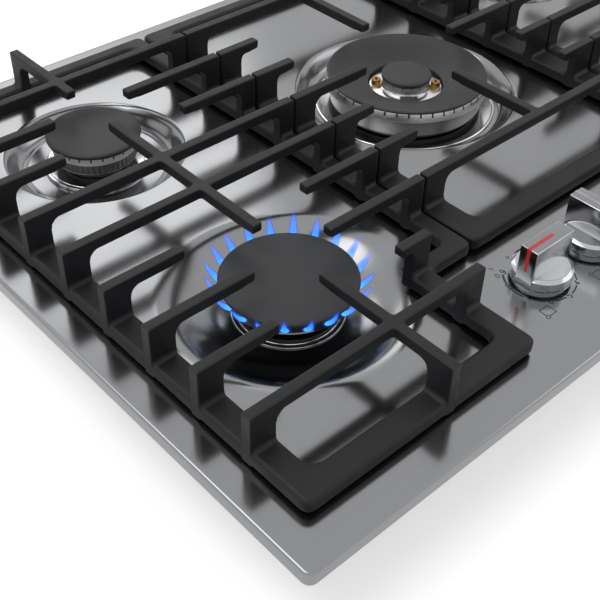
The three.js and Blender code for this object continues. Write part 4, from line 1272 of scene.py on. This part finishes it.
def centre_casting(plan, sizes):
    bm = bmesh.new()
    half, shelf, rear, last = plan.half, plan.shelf, plan.rear, plan.bars
    outline = [(-half, shelf), (half, shelf), (half, rear), (-half, rear)]
    inner, near, far = half - MIDDLE_POST, shelf + 15.9, rear - REAR_POST
    cast_frame(bm, outline, [(-inner, near), (inner, near), (inner, far), (-inner, far)], sizes)
    centre_y = burner_middle("centre")[1]
    for number in range(3, last + 1):
        y = plan.line(number)
        if number in (3, last):
            cast_bar(bm, (-half, y), (half, y), MIDDLE_POST, MIDDLE_POST, sizes)
            continue
        reach = 51.9 if number == 6 else 90.0
        for side in (-1, 1):
            cast_bar(bm, (side * half, y), (side * reach, y), MIDDLE_POST, 0, sizes)
    for number, side in ((3, -1), (last, 1)):
        cast_bar(bm, (0, plan.line(number)), (0, centre_y + side * 50.8), 0, 0, sizes)
    cast_web(bm, (0, plan.line(3)), sizes, (0, 1))
    cast_web(bm, (0, plan.line(last)), sizes, (2, 3))
    ends = (-half + FOOT_INSET, half - FOOT_INSET)
    cast_feet(bm, [(x, y) for x in ends for y in (shelf + FOOT_INSET, rear - FOOT_INSET)])
    return bm


def fused_casting(bm, name, sizes):
    """The rough pieces fused into one casting with softened edges and fillets."""
    rough = finished_mesh(bm, name)
    fused = with_modifiers(
        rough,
        name,
        ("REMESH", {"mode": "VOXEL", "voxel_size": sizes.casting_grid, "use_smooth_shade": True}),
        ("SMOOTH", {"factor": 0.5, "iterations": 1}),
        ("DECIMATE", {"decimate_type": "COLLAPSE", "ratio": 0.1}),
    )
    fused.shade_smooth()
    return fused


def build_supports(settings):
    sizes = settings.sizes
    plan = SupportPlan()
    left = fused_casting(left_casting(plan, sizes), "support_left", sizes)
    middle = fused_casting(centre_casting(plan, sizes), "support_centre", sizes)
    right = left.copy()
    right.name = "support_right"
    right.transform(Matrix.Scale(-1, 4, (1, 0, 0)))
    right.flip_normals()
    for mesh, name in ((left, "left"), (middle, "centre"), (right, "right")):
        node = f"pan_support_{name}"
        keep_inside(mesh, node)
        place(f"support_{name}", mesh, node, "cast_iron", "matt_casting", instead_of=(node,))


def keep_inside(mesh, node):
    """Holds a piece's corners inside its frame node's box, so that it never grows past it."""
    low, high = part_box(node)
    for vert in mesh.vertices:
        vert.co = Vector(min(max(c, a), b) for c, a, b in zip(vert.co, low, high))


# ---- Knobs ----

# Height of a knob's base above the plate, in millimetres.
KNOB_BASE = 12.5


def build_knob_body(number, sizes, where):
    """A knob's bevelled base, cut flat at its front, and the grip across it."""
    node = f"knob_{number}"
    bottom, top = bottom_of(node), top_of(node)
    radius, bevel = sizes.knob_radius / MM, sizes.knob_bevel / MM
    half = sizes.grip_width / MM / 2
    face, inner, under = PLATE_TOP + KNOB_BASE, radius - 1.8, bottom + 3.2
    flat = grip_end(sizes)
    corners = [
        (0, under, 0), (inner, under, 0.3), (inner, bottom, 0.1), (radius, bottom, 0.25),
        (radius, face - bevel * 0.55, 0.15), (radius - bevel, face, 0.15),
        (radius - bevel - 0.8, face - 0.2, 0.1), (0, face - 0.2, 0),
    ]
    bm = turned_part(corners, 96)
    cut = bmesh.ops.bisect_plane(
        bm, geom=bm.verts[:] + bm.edges[:] + bm.faces[:], plane_co=(0, flat, 0), plane_no=(0, 1, 0), clear_outer=True
    )
    rim = [item for item in cut["geom_cut"] if isinstance(item, bmesh.types.BMEdge)]
    bmesh.ops.edgeloop_fill(bm, edges=rim)
    grip = bmesh.new()
    rounded_block(grip, (-half, -19.5, bottom + 3.6), (half, flat + 0.06, top - 0.06), 0.75, 3)
    take_in(bm, grip)
    add_piece(
        f"knob_body_{number}",
        bm,
        node,
        "knob_metal",
        "satin_chrome",
        "pressed_steel",
        sharp=25,
        tests=[lambda p: p.z > top - 0.08],
        instead_of=(node,),
        **where,
    )


def build_knob_window(number, sizes, where):
    """The window that runs over a grip's top and down its end."""
    node = f"knob_{number}"
    top, half = top_of(node), sizes.window_width / MM / 2
    end, deep, foot = grip_end(sizes) + 0.1, 0.8, PLATE_TOP + 16
    corners = [
        (end, foot, 0.2), (end, top, 0.3), (-5.0, top, 0.2), (-5.0, top - deep, 0), (end - deep, top - deep, 0),
        (end - deep, foot, 0),
    ]
    bm = bmesh.new()
    prism(bm, rounded_path(corners, 3, True), lambda v, z: (-half, v, z), lambda v, z: (half, v, z))
    look = "window_lit" if number == 1 else "window_dark"
    add_piece(f"knob_window_{number}", bm, node, "knob_metal", look, **where)


def grip_end(sizes):
    """How far the grip reaches from the knob's axis: to where its width meets the base's edge."""
    return math.sqrt((sizes.knob_radius / MM) ** 2 - (sizes.grip_width / MM / 2) ** 2)


def build_knob(number, settings):
    sizes = settings.sizes
    at = middle_of(f"valve_stem_{number}")
    where = {"at": at, "turned": math.pi / 2 if number == 1 else 0.0}
    build_knob_body(number, sizes, where)
    outer = sizes.knob_radius / MM - 2.2
    low, high = PLATE_TOP + 0.03, PLATE_TOP + 3.0
    collar = [(9.0, low, 0), (outer, low, 0.1), (outer, high, 0.4), (9.0, high, 0.4)]
    part = turned_part(collar, 72, closed=True)
    add_piece(f"knob_collar_{number}", part, "cooktop", "knob_metal", "satin_chrome", at=at)
    build_knob_window(number, sizes, where)


# ---- Printed dials ----


def printed_arc(bm, radius, width, start, end, height, steps=12):
    """A printed arc: a thin closed band between two angles."""
    angles = [start + (end - start) * i / steps for i in range(steps + 1)]
    inner, outer = radius - width / 2, radius + width / 2
    outline = [(outer * math.cos(a), outer * math.sin(a)) for a in angles]
    outline += [(inner * math.cos(a), inner * math.sin(a)) for a in reversed(angles)]
    upright_prism(bm, outline, height, height + INK)


def printed_ring(bm, radius, width, height, middle, steps):
    """A printed circle: a thin closed band all the way round."""
    radii = (radius + width / 2, radius - width / 2)
    rings = [ring_of(bm, r, z, steps, middle) for z in (height, height + INK) for r in radii]
    lower_out, lower_in, upper_out, upper_in = rings
    for a, b in ((lower_in, lower_out), (lower_out, upper_out), (upper_out, upper_in), (upper_in, lower_in)):
        join_rings(bm, a, b)


def stroke(bm, points, width, height):
    """A printed line through points, as thin closed bands."""
    for a, b in zip(points, points[1:]):
        start, end = Vector(a), Vector(b)
        along = (end - start).normalized() * width / 2
        across = Vector((-along.y, along.x))
        start, end = start - along * 0.6, end + along * 0.6
        corners = [start - across, end - across, end + across, start + across]
        upright_prism(bm, [(c.x, c.y) for c in corners], height, height + INK)


def icon(bm, points, middle, width, height):
    """A small symbol drawn as one line of strokes."""
    x, y = middle
    stroke(bm, [(x + u * ICON_SCALE, y + v * ICON_SCALE) for u, v in points], width, height)


# Plain digits drawn as strokes on a grid of 2 by 4.
DIGITS = {
    "1": [[(0.3, 3.2), (1.2, 4), (1.2, 0)]],
    "2": [[(0, 3.3), (0.5, 4), (1.5, 4), (2, 3.3), (2, 2.6), (0, 0), (2, 0)]],
    "3": [
        [(0, 3.5), (0.5, 4), (1.5, 4), (2, 3.4), (2, 2.6), (1.3, 2.1)]
        + [(2, 1.6), (2, 0.6), (1.5, 0), (0.5, 0), (0, 0.5)]
    ],
    "4": [[(1.5, 0), (1.5, 4), (0, 1.2), (2, 1.2)]],
    "5": [[(1.9, 4), (0.2, 4), (0.1, 2.3), (1.3, 2.5), (2, 1.8), (2, 0.7), (1.4, 0), (0.5, 0), (0, 0.4)]],
    "6": [
        [(1.8, 3.7), (1.2, 4), (0.6, 4), (0, 3), (0, 0.7), (0.6, 0)]
        + [(1.4, 0), (2, 0.7), (2, 1.7), (1.4, 2.3), (0.6, 2.3), (0, 1.7)]
    ],
    "7": [[(0, 4), (2, 4), (0.8, 0)]],
    "8": [
        [(0.6, 2.1), (0, 1.5), (0, 0.6), (0.6, 0), (1.4, 0), (2, 0.6), (2, 1.5), (1.4, 2.1), (0.6, 2.1)],
        [(0.6, 2.1), (0.1, 2.7), (0.1, 3.4), (0.6, 4), (1.4, 4), (1.9, 3.4), (1.9, 2.7), (1.4, 2.1)],
    ],
    "9": [
        [(0.2, 0.3), (0.8, 0), (1.4, 0), (2, 1), (2, 3.3), (1.4, 4)]
        + [(0.6, 4), (0, 3.3), (0, 2.3), (0.6, 1.7), (1.4, 1.7), (2, 2.3)]
    ],
}
FLAME_ICON = [
    (0, -2.4), (-1.6, -1.4), (-1.8, 0.2), (-0.6, 1.0), (-0.4, 2.6), (1.0, 1.4), (1.8, 0), (1.5, -1.5), (0, -2.4),
]
SPARK_ICON = [(-0.9, 2.4), (-1.1, 0.3), (0.9, 0.5), (0.2, -2.4)]
ICON_SCALE = 0.8
# Thickness of the print, in millimetres.
INK = 0.05
DIGIT_STROKE = 0.7
ICON_STROKE = 0.5
PLAN_STROKE = 0.65
# Which corner of the small plan beside a knob its burner stands at, as signs along X and Y.
BURNER_CORNER = {1: (-1, -1), 2: (-1, 1), 3: (0, 0), 4: (1, 1), 5: (1, -1)}


def build_plan(bm, number, height):
    """A small plan of the top with a ring at the knob's burner; its outline stops short of the ring."""
    cx, cy = -23.7, -25.2
    half_x, half_y, gap = 4.2, 3.8, 2.0
    corner = BURNER_CORNER[number]
    dot = (cx + corner[0] * half_x, cy + corner[1] * half_y)
    box = [(-half_x, -half_y), (half_x, -half_y), (half_x, half_y), (-half_x, half_y)]
    for i, (u, v) in enumerate(box):
        w, z = box[(i + 1) % 4]
        start, end = Vector((cx + u, cy + v)), Vector((cx + w, cy + z))
        along = (end - start).normalized()
        if (start - Vector(dot)).length < 0.1:
            start += along * gap
        if (end - Vector(dot)).length < 0.1:
            end -= along * gap
        stroke(bm, [tuple(start), tuple(end)], PLAN_STROKE, height)
    printed_ring(bm, 1.5, 0.6, height, dot, 20)


def build_dial(number, settings):
    """Plain printed marks round a knob: nine steps, an arc that tapers, and small symbols."""
    sizes = settings.sizes
    height = PLATE_TOP + 0.01
    radius = sizes.dial_radius / MM
    grid = sizes.digit_height / MM / 4
    step, clear = math.radians(36), 0.115
    bm = bmesh.new()
    for i, digit in enumerate("987654321", start=1):
        angle = math.pi / 2 + i * step
        cx, cy = radius * math.cos(angle), radius * math.sin(angle)
        for line in DIGITS[digit]:
            points = [(cx + (u - 1) * grid, cy + (v - 2) * grid) for u, v in line]
            stroke(bm, points, DIGIT_STROKE, height)
    for i in range(1, 9):
        start, end = (math.pi / 2 + k * step for k in (i, i + 1))
        printed_arc(bm, radius, 1.7 - 0.13 * i, start + clear, end - clear, height)
    printed_ring(bm, 1.1, 0.5, height, (0, radius + 3.2), 16)
    icon(bm, FLAME_ICON, (-21, 20), ICON_STROKE, height)
    icon(bm, SPARK_ICON, (-18.5, 27.5), ICON_STROKE, height)
    build_plan(bm, number, height)
    at = middle_of(f"valve_stem_{number}")
    add_piece(f"dial_{number}", bm, "cooktop", "brushed_steel", "dial_print", at=at)


# ---- Flames ----


def flame_shell(bm, angle, height, width, lean, start, along_layer, sides=12, steps=10):
    """One flame: a drop that leaves its port outwards, turns up and closes in a tip. start is the
    port's radius and height."""
    out = Vector((math.cos(angle), math.sin(angle), 0))
    side = Vector((-math.sin(angle), math.cos(angle), 0))
    up = Vector((0, 0, 1))
    rings = []
    for i in range(steps + 1):
        share = i / steps
        reach = start[0] + lean * (1 - (1 - share) ** 1.5)
        rise = start[1] + height * share**1.08
        swell = (1 - share) ** 0.75 * min(1.0, (0.15 + share) / 0.3) ** 0.5
        middle = out * reach + up * rise
        if i in (0, steps):
            ring = [bm.verts.new(middle)]
        else:
            ring = [
                bm.verts.new(middle + (side * math.cos(a) + out * math.sin(a) * 0.7) * width / 2 * swell)
                for a in even_angles(sides)
            ]
        for vert in ring:
            vert[along_layer] = share
        rings.append(ring)
    join_all(bm, rings)


def build_flames(settings):
    sizes = settings.sizes
    start = (44.6, well_floor(settings) + 21.5)
    for name, tall, width, lean in (("core", 0.8, 6.4, 10.5), ("mantle", 1.0, 9.4, 12.0)):
        bm = bmesh.new()
        layer = bm.verts.layers.float.new("along")
        for i in range(sizes.flame_count):
            angle = (i + 0.5) * 2 * math.pi / sizes.flame_count
            uneven = 1 + 0.09 * math.sin(7.3 * i + 0.6) + 0.05 * math.cos(3.1 * i)
            height = sizes.flame_height / MM * uneven * tall
            flame_shell(bm, angle, height, width, lean, start, layer)
        look = flame(name == "core")
        at = burner_middle("front_left")
        add_piece(f"flames_{name}", bm, "cooktop", "brushed_steel", look, sharp=80, at=at)


# ---- Studio ----

CAMERA_PLACE = (-0.6035, -0.4818, 0.5085)
# Down, to the right of +Y, and rolled, in degrees.
CAMERA_ANGLES = (41.59, 43.15, 1.47)


def seen_ray(tree):
    """1 for rays from the camera, and for those that it sends on by a mirror or through glass."""
    rays = tree.nodes.new("ShaderNodeLightPath").outputs
    sent_on = maths(tree, "MAXIMUM", rays["Is Glossy Ray"], rays["Is Transmission Ray"])
    return maths(tree, "MAXIMUM", rays["Is Camera Ray"], sent_on)


def pale_floor(base, glow):
    """A matt floor that keeps shadows. For what looks at it, it glows faintly up to white."""
    material = bpy.data.materials.new("pale_floor")
    material.use_nodes = True
    tree = material.node_tree
    shader = tree.nodes["Principled BSDF"]
    shader.inputs["Base Color"].default_value = (*base, 1.0)
    shader.inputs["Roughness"].default_value = 0.9
    shader.inputs["Specular IOR Level"].default_value = 0.1
    seen = seen_ray(tree)
    light = tree.nodes.new("ShaderNodeEmission")
    tree.links.new(maths(tree, "MULTIPLY", seen, glow), light.inputs["Strength"])
    both = tree.nodes.new("ShaderNodeAddShader")
    tree.links.new(shader.outputs[0], both.inputs[0])
    tree.links.new(light.outputs[0], both.inputs[1])
    # Clear for a camera that looks up at the underside.
    clear = tree.nodes.new("ShaderNodeBsdfTransparent")
    sides = tree.nodes.new("ShaderNodeMixShader")
    backs = tree.nodes.new("ShaderNodeNewGeometry").outputs["Backfacing"]
    for socket, source in zip(sides.inputs, (backs, both.outputs[0], clear.outputs[0])):
        tree.links.new(source, socket)
    tree.links.new(sides.outputs[0], tree.nodes["Material Output"].inputs["Surface"])
    return material


def area_lamp(name, place_at, aim, size, power):
    data = bpy.data.lights.new(name, "AREA")
    data.shape = "RECTANGLE"
    data.size, data.size_y = size
    data.energy = power
    lamp = bpy.data.objects.new(name, data)
    bpy.context.scene.collection.objects.link(lamp)
    lamp.location = place_at
    lamp.rotation_euler = (Vector(aim) - Vector(place_at)).to_track_quat("-Z", "Y").to_euler()


def build_floor(studio):
    bm = bmesh.new()
    loops = [ring_of(bm, radius, 0, 96) for radius in (600, 1500, 4000, 9000)]
    join_all(bm, loops)
    # Open beneath the tray, so that the two flat faces never share a height.
    margin = 8.0
    half_x, half_y = half_size_of("burner_box")
    opening = rounded_rectangle(half_x - margin, half_y - margin, 8.0)
    fill_flat(bm, loops[0], loop_of(bm, opening, 0))
    mesh = finished_mesh(bm, "studio_floor")
    face_towards(mesh, 1)
    mesh.materials.append(pale_floor(studio.floor, studio.floor_glow))
    floor = bpy.data.objects.new("studio_floor", mesh)
    bpy.context.scene.collection.objects.link(floor)


def build_world(studio):
    """An even light that looks white where it is seen."""
    world = bpy.data.worlds.new("studio_world")
    world.use_nodes = True
    bpy.context.scene.world = world
    tree = world.node_tree
    tree.nodes.clear()
    light = tree.nodes.new("ShaderNodeBackground")
    light.inputs["Strength"].default_value = studio.world_light
    seen = tree.nodes.new("ShaderNodeBackground")
    seen.inputs["Strength"].default_value = 1.0
    seen.inputs["Color"].default_value = (1, 1, 1, 1)
    which = seen_ray(tree)
    mix = tree.nodes.new("ShaderNodeMixShader")
    for socket, source in zip(mix.inputs, (which, light.outputs[0], seen.outputs[0])):
        tree.links.new(source, socket)
    output = tree.nodes.new("ShaderNodeOutputWorld")
    tree.links.new(mix.outputs[0], output.inputs["Surface"])


def build_camera(studio):
    """The camera at the photo's place: turned from +Y towards +X, tipped down and rolled."""
    data = bpy.data.cameras.new("camera")
    data.sensor_width = 36.0
    data.lens = studio.lens
    data.clip_start, data.clip_end = 0.01, 50.0
    camera = bpy.data.objects.new("camera", data)
    bpy.context.scene.collection.objects.link(camera)
    pitch, turn_to, roll = (math.radians(angle) for angle in CAMERA_ANGLES)
    forward = Vector(
        (math.sin(turn_to) * math.cos(pitch), math.cos(turn_to) * math.cos(pitch), -math.sin(pitch))
    )
    right = Vector((math.cos(turn_to), -math.sin(turn_to), 0))
    up = right.cross(forward)
    across = right * math.cos(roll) + up * math.sin(roll)
    upright = up * math.cos(roll) - right * math.sin(roll)
    pose = Matrix((across, upright, -forward)).transposed().to_4x4()
    pose.translation = Vector(CAMERA_PLACE)
    camera.matrix_world = pose
    bpy.context.scene.camera = camera


def build_studio(settings):
    studio = settings.studio
    bpy.context.scene.view_settings.view_transform = "Standard"
    build_floor(studio)
    build_world(studio)
    area_lamp("key_lamp", (-0.9, 0.5, 1.9), (0, 0, 0.05), (1.6, 1.1), studio.key_power)
    area_lamp("back_lamp", (0.65, 1.61, 1.31), (-0.25, 0.05, 0.05), (0.8, 0.7), studio.rim_power)
    area_lamp("side_lamp", (1.5, -0.9, 1.35), (-0.1, -0.2, 0.05), (1.4, 1.0), studio.side_power)
    build_camera(studio)


# ---- Operators ----


class COOKTOP_OT_top(Operator):
    """Press the top with its wells, bead and lip"""

    bl_idname = "cooktop.top"
    bl_label = "Pressed top"

    def execute(self, context):
        build_top(context.scene.cooktop)
        return {"FINISHED"}


class COOKTOP_OT_underside(Operator):
    """Finish the seal, burner box, brackets, gas train and valves"""

    bl_idname = "cooktop.underside"
    bl_label = "Underside"

    def execute(self, context):
        build_underside()
        return {"FINISHED"}


class COOKTOP_OT_side_burners(Operator):
    """Turn the four side burners with their ports, caps and spark pins"""

    bl_idname = "cooktop.side_burners"
    bl_label = "Side burners"

    def execute(self, context):
        for side in SIDES:
            build_side_burner(side, context.scene.cooktop)
        return {"FINISHED"}


class COOKTOP_OT_centre_burner(Operator):
    """Turn the double-ring burner in the centre"""

    bl_idname = "cooktop.centre_burner"
    bl_label = "Centre burner"

    def execute(self, context):
        build_centre_burner(context.scene.cooktop)
        return {"FINISHED"}


class COOKTOP_OT_supports(Operator):
    """Cast the three pan supports"""

    bl_idname = "cooktop.supports"
    bl_label = "Pan supports"

    def execute(self, context):
        build_supports(context.scene.cooktop)
        return {"FINISHED"}


class COOKTOP_OT_knobs(Operator):
    """Make the five knobs with their windows"""

    bl_idname = "cooktop.knobs"
    bl_label = "Knobs"

    def execute(self, context):
        for number in KNOBS:
            build_knob(number, context.scene.cooktop)
        return {"FINISHED"}


class COOKTOP_OT_dials(Operator):
    """Print the dials round the knobs"""

    bl_idname = "cooktop.dials"
    bl_label = "Dials"

    def execute(self, context):
        for number in KNOBS:
            build_dial(number, context.scene.cooktop)
        return {"FINISHED"}


class COOKTOP_OT_flames(Operator):
    """Light the front left burner"""

    bl_idname = "cooktop.flames"
    bl_label = "Flames"

    def execute(self, context):
        build_flames(context.scene.cooktop)
        return {"FINISHED"}


class COOKTOP_OT_studio(Operator):
    """Set up the floor, light and camera"""

    bl_idname = "cooktop.studio"
    bl_label = "Studio"

    def execute(self, context):
        build_studio(context.scene.cooktop)
        return {"FINISHED"}


OPERATORS = (
    COOKTOP_OT_top,
    COOKTOP_OT_underside,
    COOKTOP_OT_side_burners,
    COOKTOP_OT_centre_burner,
    COOKTOP_OT_supports,
    COOKTOP_OT_knobs,
    COOKTOP_OT_dials,
    COOKTOP_OT_flames,
    COOKTOP_OT_studio,
)


class COOKTOP_PT_pieces(Panel):
    """Lists the cooktop's pieces and settings"""

    bl_label = "Gas cooktop"
    bl_idname = "COOKTOP_PT_pieces"
    bl_space_type = "VIEW_3D"
    bl_region_type = "UI"
    bl_category = "Cooktop"

    def draw(self, context):
        for operator in OPERATORS:
            self.layout.operator(operator.bl_idname)
        settings = context.scene.cooktop
        for group in (settings.sizes, settings.finishes, settings.studio):
            box = self.layout.box()
            for name in group.__annotations__:
                box.prop(group, name)


CLASSES = (CooktopSizes, CooktopFinishes, CooktopStudio, CooktopSettings, *OPERATORS, COOKTOP_PT_pieces)


def register():
    for cls in CLASSES:
        bpy.utils.register_class(cls)
    bpy.types.Scene.cooktop = PointerProperty(type=CooktopSettings)


def unregister():
    del bpy.types.Scene.cooktop
    for cls in reversed(CLASSES):
        bpy.utils.unregister_class(cls)


def main():
    register()
    bpy.ops.cooktop.top()
    bpy.ops.cooktop.underside()
    bpy.ops.cooktop.side_burners()
    bpy.ops.cooktop.centre_burner()
    bpy.ops.cooktop.supports()
    bpy.ops.cooktop.knobs()
    bpy.ops.cooktop.dials()
    bpy.ops.cooktop.flames()
    bpy.ops.cooktop.studio()


if __name__ == "__main__":
    main()
